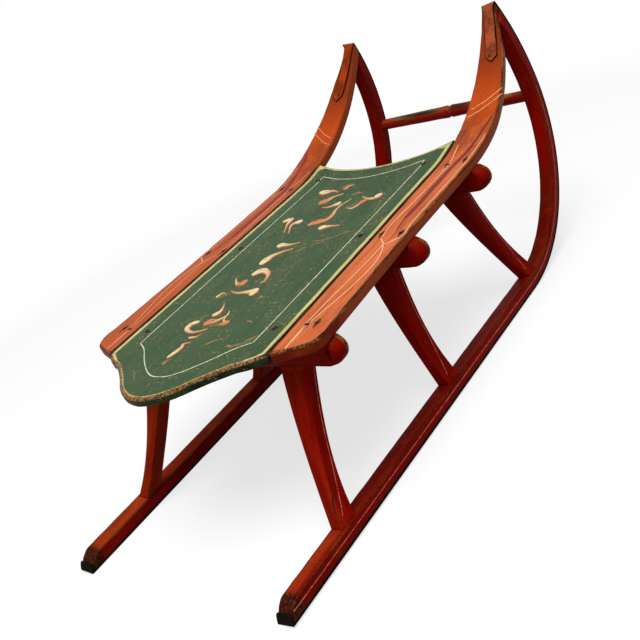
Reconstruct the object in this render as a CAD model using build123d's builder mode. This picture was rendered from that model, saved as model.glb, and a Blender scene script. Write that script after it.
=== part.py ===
from build123d import *
from math import atan2, cos, degrees, radians, sin, sqrt
import os

# A bow-runner snow sled, in millimetres. +X to the rider's right, +Y forward, +Z up.
# The origin is on the ground, midway along the sled and between its runners.

# Overall
overall_length = 842.0
tail_y = -overall_length / 2
front_y = overall_length / 2

# Runners: bent wood, leaning inward, shod with an iron strip
runner_width = 22.5
runner_depth = 16.0
runner_lean = 6.0
runner_foot_x = 153.0
runner_nose_radius = 24.0
shoe_thickness = 2.5
shoe_tab_height = 10.0
bow_radius = 231.0
curl_radius = 293.0
curl_angle = 25.3

# Seat: a deck board between two side rails, pitched up towards the front
seat_tail_from_end = 158.0
seat_front_from_end = 212.0
seat_height = 213.0
seat_pitch = 1.4
deck_thickness = 10.0
deck_length = overall_length - seat_tail_from_end - seat_front_from_end
deck_tail_half_width = 130.0
deck_front_half_width = 119.0
deck_front_hollow = 33.0
deck_gap = 1.5
deck_tail_table = [
    # share of the half width at the tail corners, distance behind them
    (0.908, 11.0),
    (0.769, 19.0),
    (0.592, 35.0),
    (0.431, 53.0),
    (0.246, 71.0),
    (0.0, 80.0),
]

# Side rails
rail_thickness = 12.5
rail_bend_run = 257.0
rail_tip_width = 19.0
rail_overrun_angle = 8.0
shoe_overrun_angle = 4.0
cut_overrun_angle = 20.0
rail_corner_table = [
    # distance out from the deck's tail corner, distance ahead of it
    (3.0, 0.0),
    (38.0, 14.5),
    (49.5, 25.0),
    (52.0, 44.0),
]
rail_side_table = [
    # distance out from the deck's tail corner, distance ahead of it
    (52.0, 44.0),
    (50.0, 90.0),
    (44.0, 230.0),
]
rail_upcurve_table = [
    # distance out from the deck's front corner, distance behind the tip
    (53.0, 246.0),
    (51.0, 147.0),
]
rail_tip_table = [
    # distance out from the tip's outer corner, distance behind the tip
    (21.2, 57.0),
    (11.2, 29.0),
]

# Strap folded over the tip and down the rail
strap_thickness = 2.0
strap_width = 16.5
strap_length = 60.0
strap_splay = 9.0
strap_point = 8.0

# Benches, each carried across under the rails, its ends round
bench_thickness = 24.0
bench_drop = 42.0
lobe_radius = 15.0
bench_end_round = 8.0
bench_rear_place = 46.0
bench_front_from_deck_end = 56.0
bench_front_place = deck_length - bench_front_from_deck_end
bench_mid_ahead = 4.0
bench_mid_place = (bench_rear_place + bench_front_place) / 2 + bench_mid_ahead
bench_table = [
    # name, place ahead of the deck's tail corners, reach out from them
    ("rear", bench_rear_place, 60.0),
    ("mid", bench_mid_place, 59.0),
    ("front", bench_front_place, 57.0),
]

# Legs: one-inch board with both outer arrises chamfered, narrowest above the foot
leg_depth = 25.0
leg_top_x = 119.0
leg_sections = [
    # share of the height, width, chamfer, outward shift of the centre
    (0.0, 19.0, 0.8, 0.0),
    (0.22, 17.0, 3.0, -5.0),
    (0.45, 20.0, 4.0, -7.0),
    (1.0, 35.0, 4.0, -1.0),
]
foot_sink = 4.0
foot_rear_place = 124.0
foot_past_bow_start = 19.0
foot_front_place = overall_length - bow_radius + foot_past_bow_start
leg_table = [
    # name, foot centre ahead of the sled's tail end, how far the top is moved outward
    ("rear", foot_rear_place, 0.0),
    ("mid", (foot_rear_place + foot_front_place) / 2, 0.0),
    ("front", foot_front_place, 8.0),
]
tenon_width = 11.0
tenon_length = 14.0
tenon_clearance = 0.1
foot_tenon_depth = 9.0
top_tenon_depth = 14.0

# Turned crossbar between the bows
bar_height = 207.0
bar_end_radius = 8.5
bar_middle_radius = 10.0
bar_groove_depth = 2.0
bar_groove_width = 8.0
bar_tenon_radius = 6.0
bar_tenon_length = 11.0

# Directions
lean_cos = cos(radians(runner_lean))
lean_sin = sin(radians(runner_lean))
pitch_cos = cos(radians(seat_pitch))
pitch_sin = sin(radians(seat_pitch))
outward = Vector(lean_cos, 0, lean_sin)
seat_forward = Vector(0, pitch_cos, pitch_sin)
seat_up = Vector(0, -pitch_sin, pitch_cos)
seat_origin = Vector(0, tail_y + seat_tail_from_end, seat_height)

# The bow as a straight run and two turns, measured at the shoe's outer face
bow_start_y = front_y - bow_radius
bow_turns = [(bow_radius, 90.0), (curl_radius, curl_angle)]
tip_y = front_y - curl_radius * (1 - cos(radians(curl_angle)))
tip_height = (bow_radius + curl_radius * sin(radians(curl_angle))) * lean_cos

# The rail's up-curve leaves the seat line and ends on the bow's tip
tip_point = Vector(0, tip_y, tip_height) - seat_origin
tip_along = tip_point.dot(seat_forward)
tip_rise = tip_point.dot(seat_up)
rail_bend_start = tip_along - rail_bend_run
rail_bend_radius = (rail_bend_run**2 + tip_rise**2) / (2 * tip_rise)
rail_bend_angle = degrees(atan2(rail_bend_run, rail_bend_radius - tip_rise))


def runner_plane(inset=0.0):
    """The leaning plane of the right runner's inner face: local X forward, Y up."""
    origin = Vector(runner_foot_x, 0, 0) + outward * inset
    return Plane(origin=origin, x_dir=(0, 1, 0), z_dir=outward)


def seat_side_plane(x):
    """Upright plane along the seat: local X along the seat, Y above its top face."""
    return Plane(origin=seat_origin + Vector(x, 0, 0), x_dir=seat_forward, z_dir=(1, 0, 0))


def seat_cross_plane(along):
    """Plane across the seat: local X to the right, Y above its top face."""
    return Plane(origin=seat_origin + seat_forward * along, x_dir=(1, 0, 0), z_dir=-seat_forward)


def seat_level_plane(height):
    """Plane parallel to the seat's top face: local X to the right, Y forward."""
    return Plane(origin=seat_origin + seat_up * height, x_dir=(1, 0, 0), z_dir=seat_up)


def band(first, straight_end, turns, low, high):
    """Outline between two offsets of a path that runs straight and then turns upward."""
    ends = []
    starts = []
    for offset_up in (low, high):
        edge = Line((first, offset_up), (straight_end, offset_up))
        starts.append(edge @ 0)
        for radius, angle in turns:
            edge = JernArc(edge @ 1, edge % 1, radius - offset_up, angle)
        ends.append(edge @ 1)
    Line(ends[0], ends[1])
    Line(starts[0], starts[1])


def right_or_left(side, solid):
    """The finished right-hand solid, or its mirror image."""
    return solid if side == "right" else mirror(solid, about=Plane.YZ)


os.makedirs("parts", exist_ok=True)

# Both up-curves run on past the tip, so that the pieces there can be cut back to each other
rail_turns = [(rail_bend_radius, rail_bend_angle + rail_overrun_angle)]
shoe_turns = [(bow_radius, 90.0), (curl_radius, curl_angle + shoe_overrun_angle)]
overrun_turns = [(bow_radius, 90.0), (curl_radius, curl_angle + cut_overrun_angle)]
lead_in = shoe_thickness
cut_width = 5 * runner_width
cut_reach = 5 * rail_thickness
cut_runner_plane = runner_plane((runner_width - cut_width) / 2)
cut_seat_plane = seat_side_plane(leg_top_x - cut_width / 2)

# Beyond the bow's wood, and above the strap: what the pieces at the tip are cut back to
with BuildPart() as beyond_wood:
    with BuildSketch(cut_runner_plane):
        with BuildLine():
            band(bow_start_y - lead_in, bow_start_y, overrun_turns, shoe_thickness - cut_reach, shoe_thickness)
        make_face()
    extrude(amount=cut_width)

with BuildPart() as beyond_shoe:
    with BuildSketch(cut_runner_plane):
        with BuildLine():
            band(bow_start_y - lead_in, bow_start_y, overrun_turns, -cut_reach, 0.0)
        make_face()
    extrude(amount=cut_width)

with BuildPart() as above_strap:
    with BuildSketch(cut_seat_plane):
        with BuildLine():
            band(rail_bend_start - lead_in, rail_bend_start, rail_turns, strap_thickness, cut_reach)
        make_face()
    extrude(amount=cut_width)

with BuildPart() as above_rail_underside:
    with BuildSketch(cut_seat_plane):
        with BuildLine():
            band(rail_bend_start - lead_in, rail_bend_start, rail_turns, -rail_thickness, cut_reach)
        make_face()
    extrude(amount=cut_width)

# Right side rail: its side profile cut to its plan
deck_tail_y = seat_origin.Y
tip_inner_x = runner_foot_x - tip_height * lean_sin / lean_cos
tip_outer_x = tip_inner_x + rail_tip_width
with BuildPart() as rail:
    with BuildSketch(seat_side_plane(0)):
        with BuildLine():
            band(-seat_tail_from_end / 2, rail_bend_start, rail_turns, -rail_thickness, 0.0)
        make_face()
    extrude(amount=overall_length / 2)
    with BuildSketch(Plane.XY):
        corner_points = [(deck_tail_half_width + out, deck_tail_y + along) for out, along in rail_corner_table]
        side_points = [(deck_tail_half_width + out, deck_tail_y + along) for out, along in rail_side_table]
        side_points += [(deck_front_half_width + out, tip_y - behind) for out, behind in rail_upcurve_table]
        side_points += [(tip_outer_x + out, tip_y - behind) for out, behind in rail_tip_table]
        with BuildLine():
            tail_end = Line(corner_points[0], corner_points[1])
            corner = ThreePointArc(*corner_points[1:])
            outer_side = Spline(*side_points, (tip_outer_x, tip_y))
            tip_outside = Line(outer_side @ 1, (tip_outer_x, front_y))
            tip_end = Line(tip_outside @ 1, (tip_inner_x, front_y))
            tip_inside = Line(tip_end @ 1, (tip_inner_x, tip_y))
            beyond_deck = Line(tip_inside @ 1, (deck_front_half_width + deck_gap, deck_tail_y + deck_length))
            beside_deck = Line(beyond_deck @ 1, (deck_tail_half_width + deck_gap, deck_tail_y))
            Line(beside_deck @ 1, tail_end @ 0)
        make_face()
    extrude(amount=2 * seat_height, mode=Mode.INTERSECT)
    add(beyond_wood.part, mode=Mode.SUBTRACT)

# Right runner before its mortises, with a rounded tail
wood_top = shoe_thickness + runner_depth
nose_height = wood_top - runner_nose_radius
nose_rise = shoe_thickness - nose_height
nose_reach = sqrt(runner_nose_radius**2 - nose_rise**2)
shoe_nose_radius = runner_nose_radius + shoe_thickness
nose_y = tail_y + sqrt(shoe_nose_radius**2 - nose_height**2)
with BuildPart() as runner_blank:
    with BuildSketch(runner_plane()):
        with BuildLine():
            band(nose_y, bow_start_y, bow_turns, shoe_thickness, wood_top)
        make_face()
        with BuildLine():
            nose_sole = Line((nose_y, shoe_thickness), (nose_y - nose_reach, shoe_thickness))
            nose = RadiusArc(nose_sole @ 1, (nose_y, wood_top), runner_nose_radius)
            Line(nose @ 1, nose_sole @ 0)
        make_face()
    extrude(amount=runner_width)
    add(above_rail_underside.part, mode=Mode.SUBTRACT)

# Right shoe: the iron strip, its tab turned up round the tail, and the strap over the tip
with BuildPart() as shoe_strip:
    with BuildSketch(runner_plane()):
        with Locations((nose_y, nose_height)):
            Circle(shoe_nose_radius)
            Circle(runner_nose_radius, mode=Mode.SUBTRACT)
        with Locations((tail_y, 0)):
            Rectangle(nose_y - tail_y, shoe_tab_height, align=(Align.MIN, Align.MIN), mode=Mode.INTERSECT)
        with BuildLine():
            band(tail_y + shoe_thickness, bow_start_y, shoe_turns, 0.0, shoe_thickness)
        make_face()
    extrude(amount=runner_width)
    add(above_strap.part, mode=Mode.SUBTRACT)

with BuildPart() as shoe:
    with BuildSketch(cut_seat_plane):
        with BuildLine():
            band(rail_bend_start - lead_in, rail_bend_start, rail_turns, 0.0, strap_thickness)
        make_face()
    extrude(amount=cut_width)
    with BuildSketch(Plane.XY):
        strap_tip_x = (tip_inner_x + tip_outer_x) / 2
        strap_end = Vector(strap_tip_x + strap_splay, tip_y - strap_length)
        half_strap = Vector(strap_width / 2, 0)
        shoulder = Vector(0, strap_point)
        with BuildLine():
            Polyline(
                Vector(strap_tip_x, front_y) - half_strap,
                Vector(strap_tip_x, tip_y) - half_strap,
                strap_end + shoulder - half_strap,
                strap_end,
                strap_end + shoulder + half_strap,
                Vector(strap_tip_x, tip_y) + half_strap,
                Vector(strap_tip_x, front_y) + half_strap,
                close=True,
            )
        make_face()
    extrude(amount=2 * seat_height, mode=Mode.INTERSECT)
    add(beyond_shoe.part, mode=Mode.SUBTRACT)
    add(shoe_strip.part)

# Deck board
with BuildPart() as deck_board:
    with BuildSketch(seat_level_plane(-deck_thickness)):
        with BuildLine():
            right_side = Line((deck_tail_half_width, 0), (deck_front_half_width, deck_length))
            left_side = Line((-deck_tail_half_width, 0), (-deck_front_half_width, deck_length))
            ThreePointArc(left_side @ 1, (0, deck_length - deck_front_hollow), right_side @ 1)
            for hand in (1, -1):
                points = [(hand * share * deck_tail_half_width, -behind) for share, behind in deck_tail_table]
                shoulder = ThreePointArc((hand * deck_tail_half_width, 0), points[0], points[1])
                cove = ThreePointArc(shoulder @ 1, points[2], points[3])
                ThreePointArc(cove @ 1, points[4], points[5])
        make_face()
    extrude(amount=deck_thickness)
deck_board.part.label = "deck_board"
export_step(deck_board.part, "parts/deck_board.step")


bench_places = {name: place for name, place, reach_out in bench_table}
leg_top_moves = {name: top_move for name, foot_place, top_move in leg_table}


def runner_top_plane(place):
    """Plane on the straight runner's top face: local X outward, Y forward."""
    up = Vector(-lean_sin, 0, lean_cos)
    origin = Vector(runner_foot_x, tail_y + place, 0) + outward * (runner_width / 2)
    origin += up * (shoe_thickness + runner_depth)
    return Plane(origin=origin, x_dir=outward, z_dir=up)


def tenon_box(plane, width, length, start, end):
    """A tenon, or a mortise, as a block across a plane, from one height to another."""
    with BuildPart() as block:
        with BuildSketch(plane.offset(start)):
            Rectangle(width, length)
        extrude(amount=end - start)
    return block.part


def leg_profile(width, chamfer_size):
    """Corners of a leg's section: inner side square, both outer corners chamfered."""
    half = leg_depth / 2
    return [
        (-width / 2, -half),
        (width / 2 - chamfer_size, -half),
        (width / 2, chamfer_size - half),
        (width / 2, half - chamfer_size),
        (width / 2 - chamfer_size, half),
        (-width / 2, half),
    ]


def leg_top_plane(name):
    """Plane of a bench's underside at its leg's top."""
    across = Vector(leg_top_x + leg_top_moves[name], 0, 0)
    return Plane(
        origin=seat_level_plane(-bench_drop).origin + seat_forward * bench_places[name] + across,
        x_dir=(1, 0, 0),
        z_dir=seat_up,
    )


# Right legs, each seated on its runner and under its bench
leg_tenon = (tenon_width, tenon_length)
mortise = (tenon_width + 2 * tenon_clearance, tenon_length + 2 * tenon_clearance)
legs = {}
for name, foot_place, top_move in leg_table:
    foot_plane = runner_top_plane(foot_place)
    top_plane = leg_top_plane(name)
    low_centre = foot_plane.origin - foot_plane.z_dir * foot_sink
    with BuildPart() as leg:
        for share, width, chamfer_size, shift in leg_sections:
            centre = low_centre + (top_plane.origin - low_centre) * share + Vector(shift, 0, 0)
            across = foot_plane.x_dir * (1 - share) + top_plane.x_dir * share
            normal = foot_plane.z_dir * (1 - share) + top_plane.z_dir * share
            with BuildSketch(Plane(origin=centre, x_dir=across, z_dir=normal)):
                with BuildLine():
                    Polyline(*leg_profile(width, chamfer_size), close=True)
                make_face()
        loft()
        add(runner_blank.part, mode=Mode.SUBTRACT)
        add(tenon_box(foot_plane, *leg_tenon, -foot_tenon_depth, foot_sink))
        add(tenon_box(top_plane, *leg_tenon, -foot_sink, top_tenon_depth))
    legs[name] = leg

# Right runner with its mortises and the crossbar's hole
bar_y = front_y - shoe_thickness - runner_depth / 2
bar_plane = Plane(origin=(0, bar_y, bar_height), z_dir=(1, 0, 0))
bar_inner_x = runner_foot_x - bar_height * lean_sin / lean_cos
with BuildPart() as runner:
    add(runner_blank.part)
    for name, foot_place, top_move in leg_table:
        foot_plane = runner_top_plane(foot_place)
        add(tenon_box(foot_plane, *mortise, -foot_tenon_depth - tenon_clearance, foot_sink), mode=Mode.SUBTRACT)
    with BuildSketch(bar_plane):
        Circle(bar_tenon_radius + tenon_clearance)
    extrude(amount=bar_inner_x + bar_tenon_length + tenon_clearance, mode=Mode.SUBTRACT)

# Turned crossbar, cut to the leaning runners, with its round tenons
with BuildPart() as crossbar:
    half_groove = bar_groove_width / 2
    blank_x = bar_inner_x + runner_width
    with BuildSketch(Plane.XY):
        with BuildLine():
            Polyline(
                (0, 0),
                (0, bar_middle_radius - bar_groove_depth),
                (half_groove, bar_middle_radius),
                (blank_x, bar_end_radius),
                (blank_x, 0),
                close=True,
            )
        make_face()
        mirror(about=Plane.YZ)
    revolve(axis=Axis.X)
bar_blank = crossbar.part.moved(Location((0, bar_y, bar_height)))
with BuildPart() as crossbar:
    add(bar_blank)
    split(bisect_by=runner_plane(), keep=Keep.BOTTOM)
    split(bisect_by=Plane(origin=(-runner_foot_x, 0, 0), z_dir=(-lean_cos, 0, lean_sin)), keep=Keep.BOTTOM)
    with BuildSketch(bar_plane):
        Circle(bar_tenon_radius)
    extrude(amount=bar_inner_x + bar_tenon_length, both=True)

# Benches, close up under the deck and the rails, their ends round from the side and from above
benches = {}
for name, place, reach_out in bench_table:
    reach = deck_tail_half_width + reach_out
    with BuildPart() as bench:
        lobe_x = reach - lobe_radius
        with BuildSketch(seat_cross_plane(place)):
            with Locations((0, -bench_drop)):
                Rectangle(2 * lobe_x, bench_drop - deck_thickness, align=(Align.CENTER, Align.MIN))
            with Locations((lobe_x, lobe_radius - bench_drop), (-lobe_x, lobe_radius - bench_drop)):
                Circle(lobe_radius)
        extrude(amount=bench_thickness / 2, both=True)
        with BuildSketch(seat_level_plane(-bench_drop)):
            with Locations((0, place)):
                RectangleRounded(2 * reach, bench_thickness, bench_end_round)
        extrude(amount=bench_drop, mode=Mode.INTERSECT)
        for side in ("right", "left"):
            add(right_or_left(side, rail.part), mode=Mode.SUBTRACT)
            hole = tenon_box(leg_top_plane(name), *mortise, -foot_sink, top_tenon_depth + tenon_clearance)
            add(right_or_left(side, hole), mode=Mode.SUBTRACT)
    benches[name] = bench

for side in ("right", "left"):
    pieces = [("runner", runner.part), ("shoe", shoe.part), ("side_rail", rail.part)]
    pieces += [(f"leg_{name}", legs[name].part) for name in legs]
    for label, solid in pieces:
        piece = right_or_left(side, solid)
        piece.label = f"{label}_{side}"
        export_step(piece, f"parts/{label}_{side}.step")

for name, bench in benches.items():
    bench.part.label = f"bench_{name}"
    export_step(bench.part, f"parts/bench_{name}.step")

crossbar.part.label = "crossbar"
export_step(crossbar.part, "parts/crossbar.step")
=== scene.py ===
import math

import bmesh
import bpy
import numpy as np
from mathutils import Matrix, Vector


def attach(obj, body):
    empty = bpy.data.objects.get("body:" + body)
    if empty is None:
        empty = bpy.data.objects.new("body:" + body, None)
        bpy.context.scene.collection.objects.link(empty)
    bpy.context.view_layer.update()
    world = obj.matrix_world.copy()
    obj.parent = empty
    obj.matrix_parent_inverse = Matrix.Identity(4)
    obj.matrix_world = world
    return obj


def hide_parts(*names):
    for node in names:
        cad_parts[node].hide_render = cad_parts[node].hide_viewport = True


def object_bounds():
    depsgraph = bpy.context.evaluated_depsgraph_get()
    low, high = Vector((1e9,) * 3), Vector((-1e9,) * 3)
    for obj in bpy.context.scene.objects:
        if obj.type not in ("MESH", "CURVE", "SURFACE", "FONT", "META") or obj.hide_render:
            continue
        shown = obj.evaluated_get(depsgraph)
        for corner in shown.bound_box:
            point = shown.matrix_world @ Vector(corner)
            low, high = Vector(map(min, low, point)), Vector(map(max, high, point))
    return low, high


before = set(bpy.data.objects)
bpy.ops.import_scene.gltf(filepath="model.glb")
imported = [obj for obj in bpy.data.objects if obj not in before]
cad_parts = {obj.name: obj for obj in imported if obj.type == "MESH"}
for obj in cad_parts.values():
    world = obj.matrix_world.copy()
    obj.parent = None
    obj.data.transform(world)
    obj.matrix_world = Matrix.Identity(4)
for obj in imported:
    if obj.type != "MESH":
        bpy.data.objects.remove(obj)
cad_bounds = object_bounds()

# A painted wooden snow sled. Sizes are in millimetres, in the frame's own axes, until a mesh is made.
MM = 0.001
BLOCK_SIZE = 4000000
WHITE = (1.0, 1.0, 1.0, 1.0)

# Places and sizes that repeat the solids
TAIL_Y, FRONT_Y = (1000 * value for value in (cad_bounds[0][1], cad_bounds[1][1]))
RUNNER_WIDTH, RUNNER_DEPTH, SHOE_THICKNESS = 22.5, 16.0, 2.5
RUNNER_FOOT_X = 153.0
LEAN = math.radians(6.0)
BOW_RADIUS, CURL_RADIUS, CURL_ANGLE = 231.0, 293.0, 25.3
NOSE_RADIUS = 24.0
SHOE_TAB_HEIGHT = 10.0
SEAT_HEIGHT = 213.0
PITCH = math.radians(1.4)
SEAT_TAIL, SEAT_FRONT = 158.0, 212.0
DECK_THICKNESS, DECK_TAIL_HALF, DECK_FRONT_HALF, DECK_HOLLOW = 10.0, 130.0, 119.0, 33.0
DECK_LENGTH = FRONT_Y - TAIL_Y - SEAT_TAIL - SEAT_FRONT
DECK_GAP = 1.5
RAIL_THICKNESS, RAIL_BEND_RUN, RAIL_TIP_WIDTH = 12.5, 257.0, 19.0
STRAP_THICKNESS, STRAP_POINT, STRAP_SPLAY = 2.0, 8.0, 13.5
# strap lengths down the rail's top face, which differ a little in the photograph
STRAP_REACH = {"right": 88.0, "left": 94.0}
BENCH_THICKNESS, BENCH_DROP, LOBE_RADIUS, BENCH_END_ROUND = 24.0, 42.0, 15.0, 8.0
LEG_DEPTH, FOOT_SINK = 25.0, 4.0
BAR_HEIGHT, BAR_END_RADIUS, BAR_MIDDLE_RADIUS = 207.0, 8.5, 10.0
BAR_GROOVE_DEPTH, BAR_GROOVE_WIDTH = 2.0, 8.0

# name, place ahead of the deck's tail corners, reach
BENCHES = [
    ("rear", 46.0, 190.0),
    ("mid", 235.0, 189.0),
    ("front", 416.0, 187.0),
]
# name, foot centre ahead of the sled's tail, half width at the top
LEGS = [("rear", 124.0, 119.0), ("mid", 377.0, 119.0), ("front", 630.0, 127.0)]
LEG_NAMES = [row[0] for row in LEGS]
# share of the height, width, chamfer, outward shift
LEG_SECTIONS = np.array([
    (0.0, 19.0, 0.8, 0.0),
    (0.22, 17.0, 3.0, -5.0),
    (0.45, 20.0, 4.0, -7.0),
    (1.0, 35.0, 4.0, -1.0),
])
# half width, distance behind the deck's tail corners
DECK_TAIL = [(130.0, 0.0), (118.0, 11.0), (100.0, 19.0), (77.0, 35.0), (56.0, 53.0), (32.0, 71.0),
             (0.0, 80.0)]
# half width, distance ahead of the deck's tail corners
RAIL_CORNER = [(133.0, 0.0), (168.0, 14.5), (179.5, 25.0), (182.0, 44.0)]
RAIL_SIDE = [(182.0, 44.0), (180.0, 90.0), (174.0, 230.0)]
# half width, distance behind the tip
RAIL_UPCURVE = [(172.0, 246.0), (170.0, 147.0), (156.0, 57.0), (146.0, 29.0)]

SEAT_FORWARD = np.array([0.0, math.cos(PITCH), math.sin(PITCH)])
SEAT_UP = np.array([0.0, -math.sin(PITCH), math.cos(PITCH)])
SEAT_ORIGIN = np.array([0.0, TAIL_Y + SEAT_TAIL, SEAT_HEIGHT])
OUTWARD = np.array([math.cos(LEAN), 0.0, math.sin(LEAN)])
RUNNER_UP = np.array([-math.sin(LEAN), 0.0, math.cos(LEAN)])
RUNNER_ORIGIN = np.array([RUNNER_FOOT_X, 0.0, 0.0])
TIP_Y = FRONT_Y - CURL_RADIUS * (1 - math.cos(math.radians(CURL_ANGLE)))
TIP_HEIGHT = (BOW_RADIUS + CURL_RADIUS * math.sin(math.radians(CURL_ANGLE))) * math.cos(LEAN)
TIP_INNER_X = RUNNER_FOOT_X - TIP_HEIGHT * math.tan(LEAN)
TIP_FROM_SEAT = np.array([0, TIP_Y, TIP_HEIGHT]) - SEAT_ORIGIN
TIP_ALONG, TIP_RISE = TIP_FROM_SEAT @ SEAT_FORWARD, TIP_FROM_SEAT @ SEAT_UP
RAIL_BEND_RADIUS = (RAIL_BEND_RUN**2 + TIP_RISE**2) / (2 * TIP_RISE)


class Path:
    """A straight run that then turns upward, with places as length along it and offset above it."""

    def __init__(self, start, straight_end, turns):
        self.start = start
        self.straight = straight_end - start
        self.turns = turns

    def at(self, along, offset):
        along = np.asarray(along, float)
        across = self.start + along
        up = offset + 0 * along
        heading = 0.0
        passed = self.straight
        corner = np.array([self.start + passed, 0.0])
        for radius, angle in self.turns:
            centre = corner + radius * np.array([-math.sin(heading), math.cos(heading)])
            turn = heading + (along - passed) / radius
            beyond = along > passed
            across = np.where(beyond, centre[0] + (radius - offset) * np.sin(turn), across)
            up = np.where(beyond, centre[1] - (radius - offset) * np.cos(turn), up)
            heading += math.radians(angle)
            passed += radius * math.radians(angle)
            corner = centre + radius * np.array([math.sin(heading), -math.cos(heading)])
        return across, up


NOSE_HEIGHT = SHOE_THICKNESS + RUNNER_DEPTH - NOSE_RADIUS
SHOE_NOSE_RADIUS = NOSE_RADIUS + SHOE_THICKNESS
NOSE_Y = TAIL_Y + math.sqrt(SHOE_NOSE_RADIUS**2 - NOSE_HEIGHT**2)
BOW = Path(TAIL_Y, FRONT_Y - BOW_RADIUS, [(BOW_RADIUS, 90.0), (CURL_RADIUS, CURL_ANGLE)])
BOW_LENGTH = BOW.straight + BOW_RADIUS * math.pi / 2 + CURL_RADIUS * math.radians(CURL_ANGLE)
SEAT = Path(0.0, TIP_ALONG - RAIL_BEND_RUN, [(RAIL_BEND_RADIUS, 90.0)])


def on_runner(along, up, outward):
    """Points of the right runner's leaning plane, from length along the sole, height over it and width."""
    forward, height = BOW.at(along, up)
    return RUNNER_ORIGIN + np.stack([0 * forward, forward, 0 * forward], -1) + (
        np.multiply.outer(height, RUNNER_UP) + np.multiply.outer(outward + 0 * forward, OUTWARD))


def on_seat(x, along, depth):
    """Points over or under the seat's top face, from half width, length along it and depth below it."""
    forward, height = SEAT.at(along, -np.asarray(depth, float))
    return SEAT_ORIGIN + np.stack([x + 0 * forward, 0 * forward, 0 * forward], -1) + (
        np.multiply.outer(forward, SEAT_FORWARD) + np.multiply.outer(height, SEAT_UP))


def waves(points, size, seed):
    """Smooth noise from -1 to 1 at points, with bumps about so many millimetres across."""
    rng = np.random.default_rng(seed)
    total = np.zeros(points.shape[:-1])
    wave_count = 6
    for wave in range(wave_count):
        direction = rng.normal(size=points.shape[-1])
        direction *= 2 * math.pi / (size * rng.uniform(0.7, 1.8) * np.linalg.norm(direction))
        total += np.sin(points @ direction + rng.uniform(0, 7))
    return total / 3


def gap_to(points, line):
    """Distance from each point to the nearest point of a line, worked out in blocks to save memory."""
    blocks = np.array_split(points, max(1, len(points) * len(line) // BLOCK_SIZE))
    return np.concatenate([np.sqrt(((block[:, None] - line[None]) ** 2).sum(-1)).min(1) for block in blocks])


def lengths_along(line):
    """The length along a line at each of its points."""
    return np.concatenate([[0], np.cumsum(np.linalg.norm(np.diff(line, axis=0), axis=1))])


def edge_normals(outline):
    """Unit normals of a closed outline, to the right of its run."""
    forward = np.roll(outline, -1, 0) - np.roll(outline, 1, 0)
    normal = np.stack([forward[:, 1], -forward[:, 0]], 1)
    return normal / (np.linalg.norm(normal, axis=1)[:, None] + 1e-9)


def quarter_turn(steps, first=0):
    """Angles from zero to a right angle, from a given step on."""
    return [step / steps * math.pi / 2 for step in range(first, steps + 1)]


def make_mesh(name, parts, material, mirrored=False, node=None):
    """One object from parts of (points, faces, lay, arris), in millimetres."""
    points, lay, arris = (np.concatenate([part[column] for part in parts]) for column in (0, 2, 3))
    starts = np.cumsum([0] + [len(part[0]) for part in parts]).tolist()
    faces = [tuple(corner + start for corner in face)
             for part, start in zip(parts, starts) for face in part[1]]
    points = points * np.array([-MM if mirrored else MM, MM, MM])
    mesh = bpy.data.meshes.new(name)
    mesh.from_pydata(points, [], faces)
    lay_layer = mesh.attributes.new("lay", "FLOAT_VECTOR", "POINT")
    lay_layer.data.foreach_set("vector", (lay * MM).astype(np.float32).ravel())
    arris_layer = mesh.attributes.new("arris", "FLOAT", "POINT")
    arris_layer.data.foreach_set("value", arris.astype(np.float32).ravel())
    mesh.polygons.foreach_set("use_smooth", [True] * len(mesh.polygons))
    mesh.materials.append(material)
    shape = bmesh.new()
    shape.from_mesh(mesh)
    bmesh.ops.recalc_face_normals(shape, faces=shape.faces)
    shape.to_mesh(mesh)
    shape.free()
    piece = bpy.data.objects.new(name, mesh)
    bpy.context.collection.objects.link(piece)
    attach(piece, "root")
    if node:
        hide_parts(node)


def grid_faces(rows, columns, start=0, wrap=False):
    """Quads of a grid whose points are numbered row by row."""
    faces = []
    for row in range(rows - 1):
        for column in range(columns if wrap else columns - 1):
            after = (column + 1) % columns
            face = (row * columns + column, row * columns + after,
                    (row + 1) * columns + after, (row + 1) * columns + column)
            faces.append(tuple(start + corner for corner in face))
    return faces


def rounded(corners, radii, edge_points):
    """Sections with rounded corners. corners is (rings, corners, 2); also gives distance from the arris."""
    arc_steps = 3
    rings, count = corners.shape[:2]
    places, arris = [], []
    starts, ends = [], []
    for index in range(count):
        here = corners[:, index]
        to_last = corners[:, index - 1] - here
        to_next = corners[:, (index + 1) % count] - here
        lengths = [np.linalg.norm(side, axis=1) for side in (to_last, to_next)]
        to_last = to_last / lengths[0][:, None]
        to_next = to_next / lengths[1][:, None]
        half = np.arccos(np.clip((to_last * to_next).sum(1), -1, 1)) / 2
        reach = np.minimum(radii[:, index] / np.tan(half), 0.45 * np.minimum(*lengths))[:, None]
        starts.append(here + to_last * reach)
        ends.append(here + to_next * reach)
    for index in range(count):
        for step in range(arc_steps + 1):
            t = step / arc_steps
            places.append((1 - t) ** 2 * starts[index] + 2 * t * (1 - t) * corners[:, index]
                          + t**2 * ends[index])
            arris.append(np.zeros(rings))
        along = starts[(index + 1) % count] - ends[index]
        length = np.linalg.norm(along, axis=1)
        for step in range(edge_points):
            t = (step + 1) / (edge_points + 1)
            places.append(ends[index] + along * t)
            arris.append(length * min(t, 1 - t))
    return np.stack(places, 1), np.stack(arris, 1)


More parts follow.
